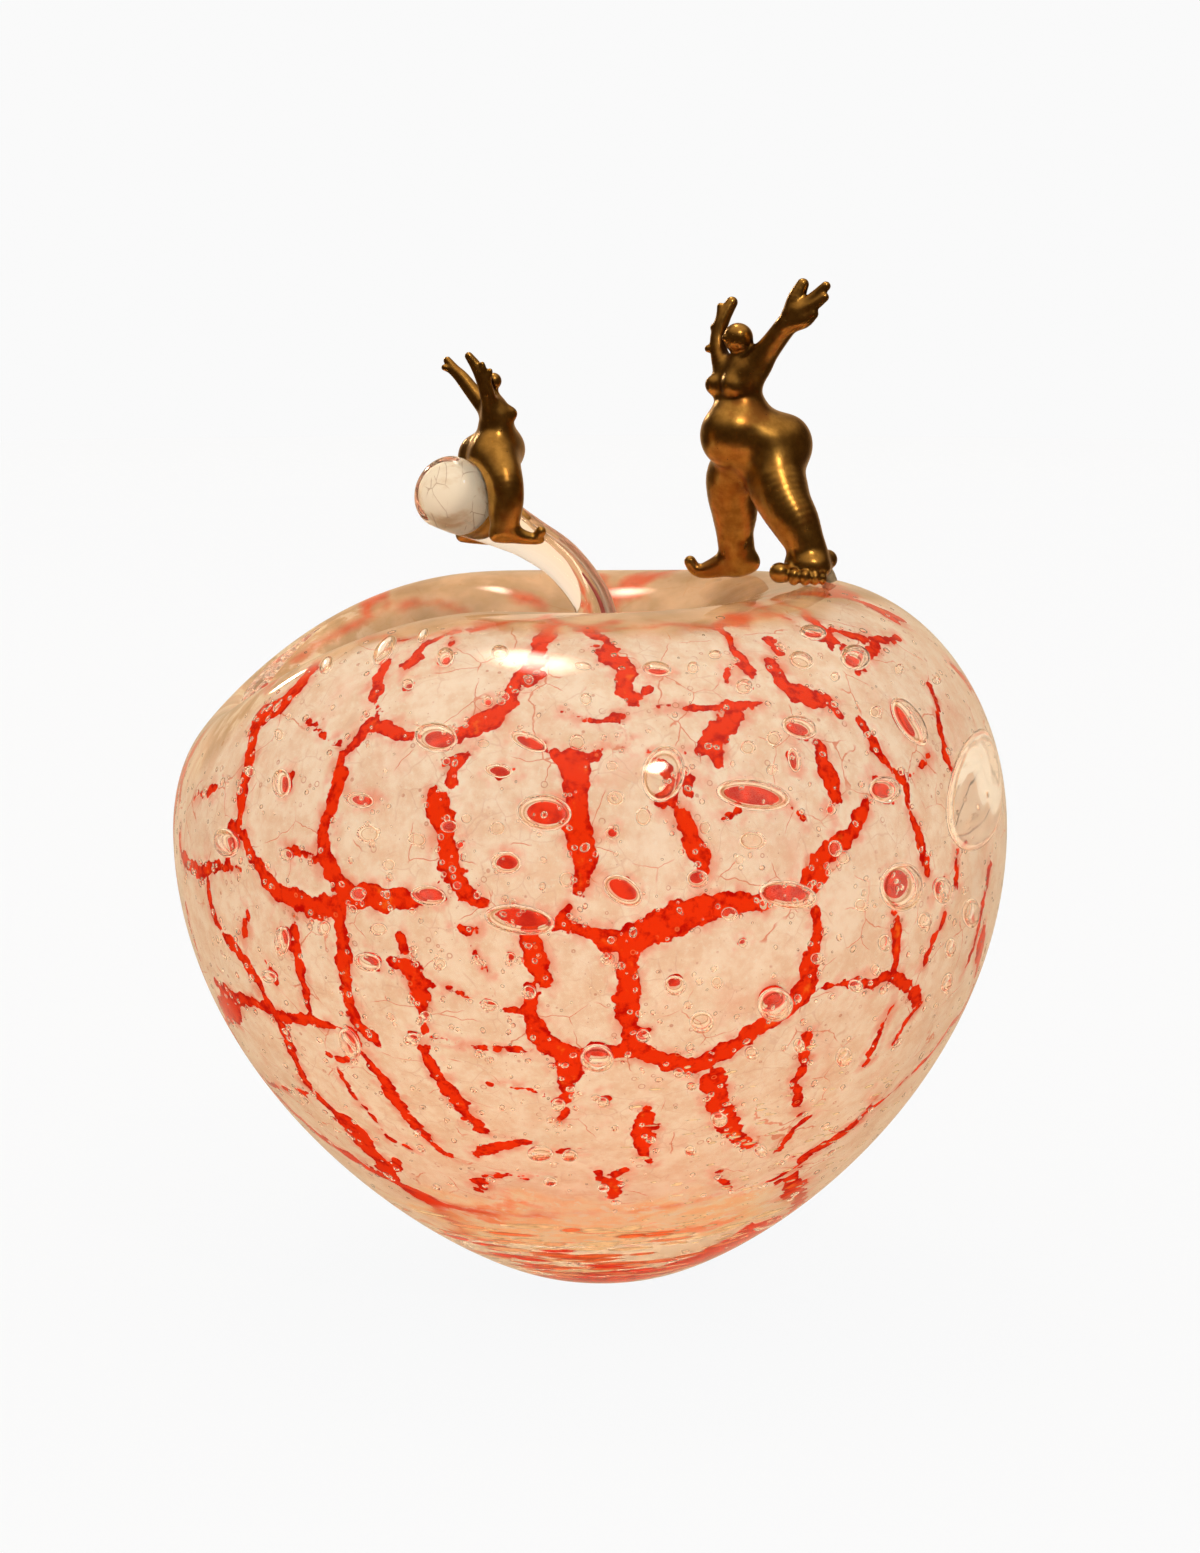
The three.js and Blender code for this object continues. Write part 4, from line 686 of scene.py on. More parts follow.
def rim_levels(count, rows, columns, power=1.0):
    """How near its pebble's rim each point lies: the sine of the tilt to the power."""
    level = np.repeat(np.sin(np.linspace(0, math.pi, rows + 2)[1:-1]) ** power, columns)
    return np.tile(np.concatenate([level, [0, 0]]), count)


# a bubble's half axis is at most LONGEST millimetres for each pixel of its size, and THICKEST
# outwards, and BUBBLE_GAP of glass parts it from the enamel
PROBE, LONGEST, THICKEST, BUBBLE_GAP = 0.6, 0.2, 2.2, 0.35


def lens_at(across, down, width, height, tilt):
    """Centre and half axes on the body of a bubble that the photograph shows at a pixel. The
    axes come from four more lines of sight, at a share PROBE of the way to its edge."""
    turn = math.radians(tilt)
    hits = [through_glass(across, down)]
    for reach, angle in ((width / 2, turn), (height / 2, turn + math.pi / 2)):
        for sign in (1, -1):
            hits.append(through_glass(across + sign * reach * PROBE * math.cos(angle),
                                      down + sign * reach * PROBE * math.sin(angle)))
    if any(hit is None for hit in hits):
        return None
    middle, out = hits[0]
    rightwards, downwards = ((hits[k][0] - hits[k + 1][0]) / (2 * PROBE) for k in (1, 3))
    for axis in (rightwards, downwards):
        axis *= min(1, LONGEST * max(width, height) / np.linalg.norm(axis))
    thick = min(0.5 * min(np.linalg.norm(rightwards), np.linalg.norm(downwards)), THICKEST)
    return middle + out * (thick + BUBBLE_GAP), rightwards, downwards, out * thick


placed = [(lens_at(*bubble[:5]), bubble[5]) for bubble in BUBBLES]
large = [np.array(column) for column in zip(*[lens for lens, _ in placed if lens is not None])]
rows, columns, flatness = 19, 32, 0.62
large_bubbles = closed_skins("large_bubbles", lenses(*large, rows, columns, flatness))
mark(large_bubbles, "rim", rim_levels(len(large[0]), rows, columns, flatness))
pools = []
for lens, is_red in placed:
    if lens is None or not is_red:
        continue
    centre, rightwards, downwards, deep = lens
    out = deep / np.linalg.norm(deep)
    pools.append((centre - deep - out * 0.22 + rightwards * 0.05 - downwards * 0.09,
                  rightwards * 0.80, downwards * 0.78, out * 0.24))
    offset = body_points - centre
    near = np.abs(offset).max(axis=1) < 16
    across = offset[near] @ rightwards / (rightwards @ rightwards) - 0.06
    along = offset[near] @ downwards / (downwards @ downwards) + 0.08
    small = min(np.linalg.norm(rightwards), np.linalg.norm(downwards))
    red[near] = np.minimum(red[near], (np.hypot(across, along) - 0.62) * small)

# the spray of small ones: most near the cracks, fewer where the layers are blurred
SPRAY = 2200
chance = np.random.default_rng(11)
normals = outward.astype(float)
weights = np.linalg.norm(np.cross(normals, [0, 0, 1]), axis=1) + 0.15
weights *= from_axis(body_points) * (1 + 2.2 * (red < 0.4)) * (1 - 0.9 * softness)
picks = chance.choice(len(body_points), SPRAY, p=weights / weights.sum(), replace=False)
sizes = 0.30 + 0.5 * chance.random(SPRAY) ** 2.2
sizes = sizes + 0.4 * (chance.random(SPRAY) < 0.16 + 0.4 * (red[picks] < 0))
lift = sizes + 0.3 + chance.random(SPRAY) ** 2 * 6
side = unit(np.cross(normals[picks], chance.normal(size=(SPRAY, 3))))
other = np.cross(normals[picks], side)
stretch = chance.uniform(1, 1.35, SPRAY)[:, None]
seeds = lenses(body_points[picks] + normals[picks] * lift[:, None], side * sizes[:, None] * stretch,
               other * sizes[:, None], normals[picks] * sizes[:, None] * 0.9, 4, 8)
small_bubbles = closed_skins("small_bubbles", seeds)
mark(small_bubbles, "rim", np.tile(np.repeat([0.6, 1, 1, 0.6, 0, 0], [8, 8, 8, 8, 1, 1]), SPRAY))

air, start, place = material("air_in_glass")
rim = marked(start, "rim")
# painted shade: a brown line in the tint near each bubble's rim; painted highlight: a faint warm glow
# (emission) nearer the rim
painted_dark_rim_line = (rim - 0.86).maths("ABSOLUTE").step(0.06, 0.02)
air_tint_with_painted_rim = painted_dark_rim_line.colour((1.0, 0.98, 0.95), (0.66, 0.40, 0.21))
caught = ((rim - 0.95).maths("ABSOLUTE").step(0.05, 0.02) * 0.2).colour((0, 0, 0), (1.0, 0.84, 0.62))
finish_glass(start, air_tint_with_painted_rim, (0.98, 0.97, 0.95), **{
    "IOR": 1 / GLASS_INDEX, "Emission Color": caught, "Emission Strength": 1.0})
for bubbles in (large_bubbles, small_bubbles):
    wear(bubbles, air)
mark(body, "red", red)

# red glass laid bare under the large bubbles, in smooth pools a little up and right of each
red_pools = closed_skins("red_pools", lenses(*[np.array(column) for column in zip(*pools)], 7, 28, 0.8))
made, start, place = material("red_pool_glass")
shade = place.noise(5, 3).step(0.35, 0.65).colour((0.62, 0.004, 0.002), (0.98, 0.035, 0.006))
finish_solid(start, shade, 0.4, 0.2)
wear(red_pools, made)


# Trails in the thick clear base: threads of red, orange and cream glass drawn out of the body
# where the gather was pulled off. They lie flat a few millimetres inside the underside, with a
# spray of short pale ones up the right side that are painted glints. The cream of the higher
# trails is painted highlight as well as cream glass.
FRONT, ROUND, SHORT_GLINTS = 200, 60, 160
TRAILS = FRONT + ROUND + SHORT_GLINTS
chance = np.random.default_rng(29)
turns = np.radians(np.concatenate([
    chance.normal(-104, 26, FRONT), chance.uniform(0, 360, ROUND), chance.uniform(-85, -10, SHORT_GLINTS)]))
levels = np.concatenate([chance.uniform(0.05, 0.42, FRONT), chance.uniform(0.06, 0.30, ROUND),
                         chance.uniform(0.30, 0.78, SHORT_GLINTS)])
depth = chance.uniform(2, 6, TRAILS)
bed = apple(turns, levels, side=depth, foot=depth)
ahead = unit(apple(turns + 0.02, levels, side=depth, foot=depth) - bed)
upward = unit(apple(turns, levels + 0.01, side=depth, foot=depth) - bed)
scale = np.repeat([[1.0], [0.28]], [FRONT + ROUND, SHORT_GLINTS], axis=0)
long, wide = chance.uniform(3, 9, (TRAILS, 1)) * scale, chance.uniform(0.5, 1.8, (TRAILS, 1)) * scale
rows, columns = 5, 20
trails = closed_skins("base_trails", lenses(bed, ahead * long + upward * wide * 0.4, upward * wide,
                                            np.cross(ahead, upward) * 0.3, rows, columns))
mark(trails, "rim", rim_levels(TRAILS, rows, columns))
redness = np.clip(1.25 - 2.6 * levels + chance.normal(0, 0.25, TRAILS), 0, 1) * (scale[:, 0] > 0.5)
mark(trails, "tone", np.repeat(redness, rows * columns + 2))
made, start, place = material("drawn_out_glass_and_glints")
tone = marked(start, "tone")
# cream where the tone is low: painted glints and highlights, partly cream glass as well
shade = tone.step(0.3, 0.6).colour((1.0, 0.78, 0.50), (0.98, 0.20, 0.06))
shade = tone.step(0.7, 0.9).colour(shade, (0.95, 0.04, 0.015))
finish_solid(start, shade, 0.5, 0.0,
             Alpha=marked(start, "rim").step(1.0, 0.35) * (place.noise(3, 3) + 0.4))
wear(trails, made)


# Stem: a solid rod of clear glass, pulled hot from the middle of the dimple, bent over to the
# left and left with a thick rounded end. Red and milky pink threads run up inside it.
STEM_FOOT = np.array([-LEAN, 0, DIMPLE_FLOOR])
STEM = np.array([
    (0, 0, -0.4, 9.6), (0.1, 0, 1.5, 9.3), (0.2, 0, 4, 8.6), (0.8, 0, 10, 6.6), (1.8, 0, 17, 5.5),
    (2.1, 0, 24, 5.3), (-0.4, -0.2, 32, 5.2), (-7.4, -0.9, 41, 5.3), (-15.5, -3, 46.9, 5.5),
    (-21.2, -5.4, 50.4, 6.3), (-26.8, -8.6, 54, 7.6), (-32.4, -12.8, 57.7, 9.0),
    (-36.5, -17.4, 60.5, 9.5),
]) + [*STEM_FOOT, 0]


def frames(path):
    """Tangent of a path of points, and two directions square to it."""
    along = unit(np.gradient(path, axis=0))
    side = unit(np.array([0, 1, 0]) - along * along[:, 1:2])
    return along, side, np.cross(along, side)


def rod(path, columns, start_dome=0, end_dome=0):
    """Round rings along a path of x, y, z, radius. A domed end adds rings whose radius falls as
    the root of 1 - s squared while they move on by s times the dome's share of the radius."""
    along, side, other = frames(path[:, :3])
    rings = [path]
    s = np.sin(np.linspace(0, math.pi / 2, 9))[1:-1]
    for at, sign, dome in ((0, -1, start_dome), (-1, 1, end_dome)):
        if dome:
            end = np.repeat(path[at][None], len(s), 0)
            end[:, :3] += along[at] * (sign * dome * path[at][3] * s)[:, None]
            end[:, 3] *= np.sqrt(1 - s ** 2)
            rings = [end[::-1]] + rings if sign < 0 else rings + [end]
    full = np.concatenate(rings)
    lead = len(s) if start_dome else 0
    nearest = np.clip(np.arange(len(full)) - lead, 0, len(path) - 1)
    turn = np.linspace(0, 2 * math.pi, columns, endpoint=False)[None, :, None]
    ring = side[nearest, None] * np.cos(turn) + other[nearest, None] * np.sin(turn)
    return full[:, None, :3] + ring * full[:, None, 3:4]


stem_path = through(STEM, 6)
stem = closed_skins("stem", rod(stem_path, 40, end_dome=0.66)[None])
wear(stem, glass("stem_glass", (1.0, 0.975, 0.945), 14, 0.0002))
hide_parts("stem_rod")

# each thread: its place across the rod (towards the back, and outwards), its radius, the
# stretch of the stem it fills as shares of the whole, and its colour
THREADS = [
    ("stem_thread_long", -0.25, 0.30, 0.55, 0.10, 0.56, (0.60, 0.035, 0.015)),
    ("stem_thread_short", -0.10, 0.55, 0.34, 0.05, 0.44, (0.66, 0.05, 0.02)),
    ("pink_thread_1", 0.45, 0.62, 0.50, 0.04, 0.80, (0.90, 0.54, 0.36)),
    ("pink_thread_2", 0.05, 0.78, 0.40, 0.04, 0.86, (0.90, 0.42, 0.28)),
    ("pink_thread_3", -0.45, 0.62, 0.36, 0.06, 0.70, (0.92, 0.66, 0.48)),
    ("pink_thread_4", 0.62, 0.30, 0.45, 0.04, 0.62, (0.88, 0.54, 0.38)),
    ("pink_thread_5", 0.35, 0.80, 0.30, 0.30, 0.97, (0.84, 0.26, 0.14)),
]
_, stem_side, stem_other = frames(stem_path[:, :3])
for name, back, outwards, radius, begin, finish, tint in THREADS:
    keep = slice(int(begin * len(stem_path)), int(finish * len(stem_path)))
    room = stem_path[keep, 3:4] - 0.6
    wave = 1 + 0.06 * np.sin(np.linspace(0, 9, len(room)))[:, None]
    middle = (stem_path[keep, :3] + stem_side[keep] * back * room * wave
              - stem_other[keep] * outwards * room * wave)
    taper = radius * np.sin(np.linspace(0.15, math.pi - 0.15, len(room)))[:, None] ** 0.5
    thread = closed_skins(name + "_strand", rod(np.hstack([middle, taper]), 10, 1, 1)[None])
    made, start, place = material(name + "_glass")
    shade = place.noise(3, 3).colour(tint, [0.75 * c + 0.2 for c in tint])
    finish_solid(start, shade, 0.35)
    wear(thread, made)
    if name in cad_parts:
        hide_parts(name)

# milky core in the thick end of the stem, a little inside its surface
core_path = stem_path[int(0.88 * len(stem_path)):].copy()
core_path[:, 3] -= 3.2
core = closed_skins("stem_core", rod(core_path, 32, 0.5, 0.66)[None])
made, start, place = material("milky_glass")
veil = place.vector("MULTIPLY", (0.5, 1, 1)).noise(7, 4, 0.6).step(0.48, 0.72)
shade = veil.colour((1.0, 0.95, 0.83), (0.72, 0.55, 0.36))
scratches = place.vector("MULTIPLY", (1, 0.2, 0.6)).cells(3, "DISTANCE_TO_EDGE").step(0.03, 0.01)
shade = (scratches * place.noise(6, 2).step(0.5, 0.6) * 0.6).colour(shade, (0.45, 0.30, 0.18))
finish_solid(start, shade, 0.5, 0.2)
wear(core, made)


# Bronze woman standing on the rim: one casting, built up in wax as fat rounded limbs melted
# into each other, with a ball for a head and no face. Faces to the left and a little forward.
# A limb is x, y, z, radius stations, and an egg a centre, three half axes and a turn about Z.
PART_MARGIN = 6


def soft_join(a, b, blend):
    """The smaller of two distances, rounded over where they differ by less than blend."""
    share = np.clip(0.5 + 0.5 * (b - a) / blend, 0, 1)
    return lerp(b, a, share) - blend * share * (1 - share)


def part_of(centres, sizes, away, blend):
    """A part for joined(): the corners of the box that holds it, its distance and its blend."""
    reach = sizes + PART_MARGIN
    return (centres - reach).min(axis=0), (centres + reach).max(axis=0), away, blend


def limb(*stations, blend=1.6, steps=4):
    """Distance to a limb: to the nearest of the straight rods along its smooth line."""
    path = through(stations, steps) if len(stations) > 2 else np.array(stations, dtype=float)

    def away(points):
        return np.min([from_rod(points, *ends) for ends in zip(path[:-1], path[1:])], axis=0)
    return part_of(path[:, :3], path[:, 3:4], away, blend)


def egg(centre, half, turn=0, blend=1.6, tilt=0):
    """Distance to an ellipsoid, near enough: its scaled radius less 1, times that radius over
    the length of its slope. Tilted about its own Y first, and then turned about Z."""
    centre, half = np.array(centre, dtype=float), np.array(half, dtype=float)
    a, b = math.radians(turn), math.radians(tilt)
    about_z = np.array([[math.cos(a), -math.sin(a), 0], [math.sin(a), math.cos(a), 0], [0, 0, 1]])
    about_y = np.array([[math.cos(b), 0, math.sin(b)], [0, 1, 0], [-math.sin(b), 0, math.cos(b)]])
    axes = about_z @ about_y

    def away(points):
        own = (points - centre) @ axes
        size = np.linalg.norm(own / half, axis=1)
        return size * (size - 1) / (np.linalg.norm(own / half ** 2, axis=1) + 1e-9)
    return part_of(centre[None], half.max(), away, blend)


def trunk(rings, wide_way, deep_way, blend):
    """Distance to level rings of centre, half width and half depth, run together by a cubic."""
    fine = through(rings, 6)
    wide_way, deep_way = np.array(wide_way), np.array(deep_way)

    def away(points):
        x, y, wide, deep = (np.interp(points[:, 2], fine[:, 2], fine[:, k]) for k in (0, 1, 3, 4))
        offset = points[:, :2] - np.stack([x, y], -1)
        across, along = offset @ wide_way / wide, offset @ deep_way / deep
        flat = (np.hypot(across, along) - 1) * np.minimum(wide, deep)
        beyond = np.maximum(fine[0, 2] - points[:, 2], points[:, 2] - fine[-1, 2])
        return np.maximum(flat, beyond)
    return part_of(fine[:, :3], fine[:, 3:4], away, blend)


def joined(parts, points, cut=None):
    """Distance to all the parts melted together, each where the points are near it, less a cut."""
    value = np.full(len(points), 9.0)
    for low, high, away, blend in parts:
        near = np.flatnonzero(np.all((points > low) & (points < high), axis=1))
        value[near] = soft_join(value[near], away(points[near]), blend)
    if cut:
        near = np.flatnonzero(np.all((points > cut[0]) & (points < cut[1]), axis=1))
        value[near] = -soft_join(-value[near], cut[2](points[near]), cut[3])
    return value


def sculpted(name, parts, anchor, cell, cut=None):
    """Closed skin of joined parts, in millimetres from the anchor. A point goes in each cell of
    a grid that the skin crosses, at the mean of the crossings on its edges, and is then moved
    onto the skin. A square joins the four cells round each grid edge that the skin cuts."""
    low = np.min([p[0] for p in parts], axis=0)
    high = np.max([p[1] for p in parts], axis=0)
    counts = np.ceil((high - low) / cell).astype(int)
    grid = low + np.stack(np.meshgrid(*[np.arange(n) for n in counts], indexing="ij"), -1) * cell
    value = joined(parts, grid.reshape(-1, 3), cut).reshape(counts)
    corners = [(i, j, k) for i in (0, 1) for j in (0, 1) for k in (0, 1)]
    window = [slice(i, n - 1 + i) for n in counts for i in (0, 1)]
    below = sum((value[window[i], window[2 + j], window[4 + k]] < 0).astype(int) for i, j, k in corners)
    cells = np.argwhere((below > 0) & (below < 8))
    number = np.full(counts, -1)
    number[tuple(cells.T)] = np.arange(len(cells))
    total, crossings = np.zeros((len(cells), 3)), np.zeros((len(cells), 1))
    for c in corners:
        for axis in range(3):
            if c[axis] == 0:
                d = np.array(c) + np.eye(3, dtype=int)[axis]
                at_c, at_d = value[tuple((cells + c).T)], value[tuple((cells + d).T)]
                cut_here = ((at_c < 0) != (at_d < 0))[:, None]
                share = (at_c / np.where(at_c == at_d, 1, at_c - at_d))[:, None]
                total += cut_here * (np.array(c) + share * np.eye(3)[axis])
                crossings += cut_here
    points = low + (cells + total / crossings) * cell
    step = 0.15
    for _ in range(3):
        slope = np.stack([joined(parts, points + s, cut) - joined(parts, points - s, cut)
                          for s in np.eye(3) * step], -1) / (2 * step)
        steepness = np.sum(slope ** 2, axis=1, keepdims=True) + 0.05
        points -= np.clip(joined(parts, points, cut)[:, None] * slope / steepness, -cell, cell)
    out = slope / (np.linalg.norm(slope, axis=1, keepdims=True) + 1e-9)
    faces = []
    for axis in range(3):
        one, two = np.eye(3, dtype=int)[(axis + 1) % 3], np.eye(3, dtype=int)[(axis + 2) % 3]
        start = value < 0
        end = np.roll(start, -1, axis=axis)
        for first in (True, False):
            edges = np.argwhere((start == first) & (end != first))
            edges = edges[np.all((edges > 0) & (edges < counts - 1), axis=1)]
            ring = [number[tuple((edges - o).T)] for o in (one * 0, one, one + two, two)]
            quads = np.stack(ring if first else ring[::-1], -1)
            faces += quads[np.all(quads >= 0, axis=1)].tolist()
    made = mesh_object(name, points + anchor, faces)
    hollow = 1 - joined(parts, points + out * 2.4, cut) / 2.4
    fine_hollow = 1 - joined(parts, points + out * 0.8, cut) / 0.8
    mark(made, "recess", np.clip(hollow, 0, 1.2) + 0.5 * np.clip(fine_hollow, 0, 1.2))
    return made


def rim_height(x, y):
    """Height of the glass over a point of the plan, by the skin's own points."""
    points = apple(math.atan2(y, x + LEAN), np.linspace(1.2, 3, 4000))
    return np.interp(-math.hypot(x + LEAN, y), -from_axis(points), points[:, 2])


STANDER_SIDE, STANDER_BACK = (0.49, -0.87), (0.87, 0.49)
SOLE_GAP = 0.35
left_sole, right_sole = (
    np.array([x, y, rim_height(x, y) + SOLE_GAP]) for x, y in ((52.6, -3), (32.6, 25.4)))
stride = right_sole - left_sole


def right(*stations):
    """Stations measured from the right foot, moved to the left foot's origin."""
    return [(*(stride + station[:3]), *station[3:]) for station in stations]


woman_parts = [
    trunk([(-11.1, 16.5, 25.5, 5, 4), (-11.1, 16.5, 27.7, 8.2, 6.3), (-10.1, 16.2, 31.7, 10.6, 9.2),
           (-10.8, 15.8, 35.7, 10.8, 10.2), (-12.4, 15.7, 39.7, 9.9, 9.3), (-15, 16, 43.7, 8.2, 7.2),
           (-16.6, 16.3, 47.2, 7.6, 6.0), (-17, 16, 50.7, 7.4, 5.4), (-16.8, 15.6, 54.2, 6.8, 4.4),
           (-16.6, 15.2, 57.2, 3.6, 2.6), (-16.6, 15, 58.6, 1.2, 1.2)], STANDER_SIDE, STANDER_BACK, 2.5),
    egg((-18.7, 12.1, 37.3), (8.2, 8.2, 8.7), 30, 4.2),
    egg((-4.4, 15, 34.8), (7, 6.8, 7.8), 30, 4.0),
    egg((-8.5, 23.0, 34.8), (7, 6.8, 7.8), 30, 4.0),
    egg((-18.6, 10.9, 50.4), (3.2, 2.7, 2.7), -45, 1.7, 18),
    egg((-22.4, 15.6, 50.0), (3.2, 2.7, 2.8), -10, 1.7, 18),
    limb((-16.5, 15, 55.7, 2.3), (-16.7, 14.5, 59.7, 2.2), blend=2.0),
    egg((-17, 14, 62.5), (3.9, 3.9, 3.95), 0, 0.9),
    limb((-18.8, 13.2, 62.6, 1.4), (-20.5, 12.4, 62.6, 0.8), blend=0.8),
    # near arm, palm, three fingers and the heel of the hand
    limb((-15.2, 13.8, 52.6, 4.4), (-12.6, 12.4, 55.2, 4.2), (-10.2, 10.8, 58.6, 3.4),
         (-7.7, 9, 62.1, 3.0), (-4.7, 7, 66.3, 2.9), (-1.9, 6.2, 69.2, 3.1), blend=2.6),
    limb((-2.9, 6.6, 69.6, 2.9), (-2.2, 6.8, 73.2, 2.3), (-0.6, 7, 76.8, 1.6), blend=1.1),
    limb((-1.7, 5.8, 70.2, 2.0), (2.0, 4.9, 73.4, 1.55), (5.2, 4, 76.5, 1.25), blend=1.0),
    limb((-1.4, 5.2, 69.7, 1.8), (2.2, 3.9, 71.6, 1.45), (4.8, 3.1, 73.7, 1.2), blend=0.9),
    limb((-4.6, 6.4, 66.6, 2.3), (-0.6, 4.6, 67.6, 2.1), (1.9, 3.6, 69.4, 1.45), blend=0.9),
    # far arm and its fingers
    limb((-18.6, 16.6, 51.6, 3.6), (-20.6, 18, 55.1, 3.0), (-21.8, 19.6, 58.6, 2.3),
         (-22.1, 21, 62.3, 2.0), (-20.8, 22, 66.8, 1.9), (-18.4, 23, 71.2, 1.55), blend=2.2),
    limb((-22.2, 20.8, 60.3, 1.1), (-23.4, 20.4, 59.8, 0.9), (-24.6, 20, 59.3, 1.0), blend=0.8),
    limb((-21.6, 21.6, 63.1, 1.2), (-22.4, 21.8, 63.8, 0.9), (-23.2, 22, 64.7, 0.9), blend=0.8),
    limb((-20.8, 22.2, 66.4, 1.3), (-21.4, 22.6, 68.4, 1.0), (-21.4, 23, 70.2, 0.9), blend=0.8),
    # near leg, its foot turned to the front
    limb((-8.6, 12.9, 33.6, 7.2), (-8, 11.8, 30.2, 7.7), (-7, 8.8, 25.4, 7.9), (-5, 5.4, 20.3, 7.0),
         (-2.4, 3, 15.7, 6.3), (-0.2, 1.3, 11, 5.3), (1.2, 0.9, 6.6, 5.3), blend=4.0),
    egg((0.8, -0.4, 4.6), (6.5, 5.5, 4.6), -40, 1.4),
    limb((4.6, 3.6, 4.8, 3.5), (6.2, 4.6, 5.6, 2.6), blend=1.6),
    limb((-3.0, -2.2, 3.2, 2.6), (-5.4, -3.6, 3.0, 2.5), (-6.6, -4.4, 3.2, 2.7), blend=0.8),
    egg((-2.9, -5.6, 2.3), (1.7, 1.9, 2.3), -12, 0.7),
    egg((-0.1, -6.2, 2.1), (1.55, 1.8, 2.1), -4, 0.7),
    egg((2.4, -5.7, 1.9), (1.4, 1.7, 1.9), 8, 0.7),
    egg((4.4, -4.6, 1.7), (1.2, 1.5, 1.7), 20, 0.7),
    # far leg, its foot pointing left with the big toe turned up
    limb((-14.4, 19.6, 31, 7.0), *right(
        (2.0, -7.9, 28.7, 6.8), (1.7, -5.6, 23.8, 6.5), (2.6, -3.1, 18.4, 6.1),
        (2.8, -0.8, 12.6, 5.0), (3.3, -0.4, 8, 4.8), (3.6, -0.4, 5, 4.5)), blend=4.0),
    limb(*right((6.6, -0.4, 4.4, 3.0), (1.4, 0, 4.0, 3.5), (-3, 0.4, 2.6, 2.6), (-5.8, 0.5, 1.9, 2.0),
         (-7.8, 0.6, 2.6, 1.75), (-9.0, 0.6, 4.4, 1.6)), blend=1.6),
    egg(*right((-4.4, 3, 1.5)), (1.8, 1.4, 1.4), 10, 0.5),
    egg(*right((-2.6, 4.4, 1.5)), (1.6, 1.3, 1.4), 20, 0.5),
]
woman = sculpted("standing_woman", woman_parts, left_sole, 0.5)

# cast bronze: brown in the hollows by the attribute recess, rubbed golden on the swells
bronze, start, place = material("patinated_bronze")
patches = place.noise(9, 4, 0.6)
brown = (marked(start, "recess") + (patches - 0.5) * 0.9).step(0.25, 1.15)
gold = place.noise(3, 4, 0.65).step(0.3, 0.7).colour((0.42, 0.225, 0.05), (0.62, 0.35, 0.085))
warm = patches.step(0.52, 0.72).colour(gold, (0.42, 0.18, 0.04))
tone = brown.colour(warm, (0.08, 0.034, 0.010))
pits = place.cells(1.5).step(0.16, 0.05) * place.noise(5, 2).step(0.52, 0.62)
tone = (pits * 0.7).colour(tone, (0.05, 0.02, 0.008))
rough = brown * 0.12 + 0.30 + (place.noise(6, 3) - 0.5) * 0.12 + pits * 0.3
relief = place.noise(2.4, 3) * 0.15 + place.noise(9, 2) - pits * 0.8
bump = start.node("ShaderNodeBump", {"Height": relief, "Distance": 0.00018, "Strength": 0.6})
finish_solid(start, tone, rough, Metallic=1.0, Normal=bump)
wear(woman, bronze)
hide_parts("standing_figure")


# Bronze figure riding the stem: a smaller casting of the same kind, astride the glass rod with
# both arms thrown up. It looks down the stem, so its back is to the left. The rod is cut out of it.
RIDER_FRONT, RIDER_FAR = np.array([0.937, 0.35, 0]), np.array([-0.35, 0.937, 0])
seat = STEM[10, :3]
LEG_SIDE = 11.5


def sat(*stations):
    """Stations forwards, to the far side and up from the seat, as x, y and z offsets."""
    return [(*(RIDER_FRONT * f + RIDER_FAR * s + [0, 0, u]), *rest) for f, s, u, *rest in stations]


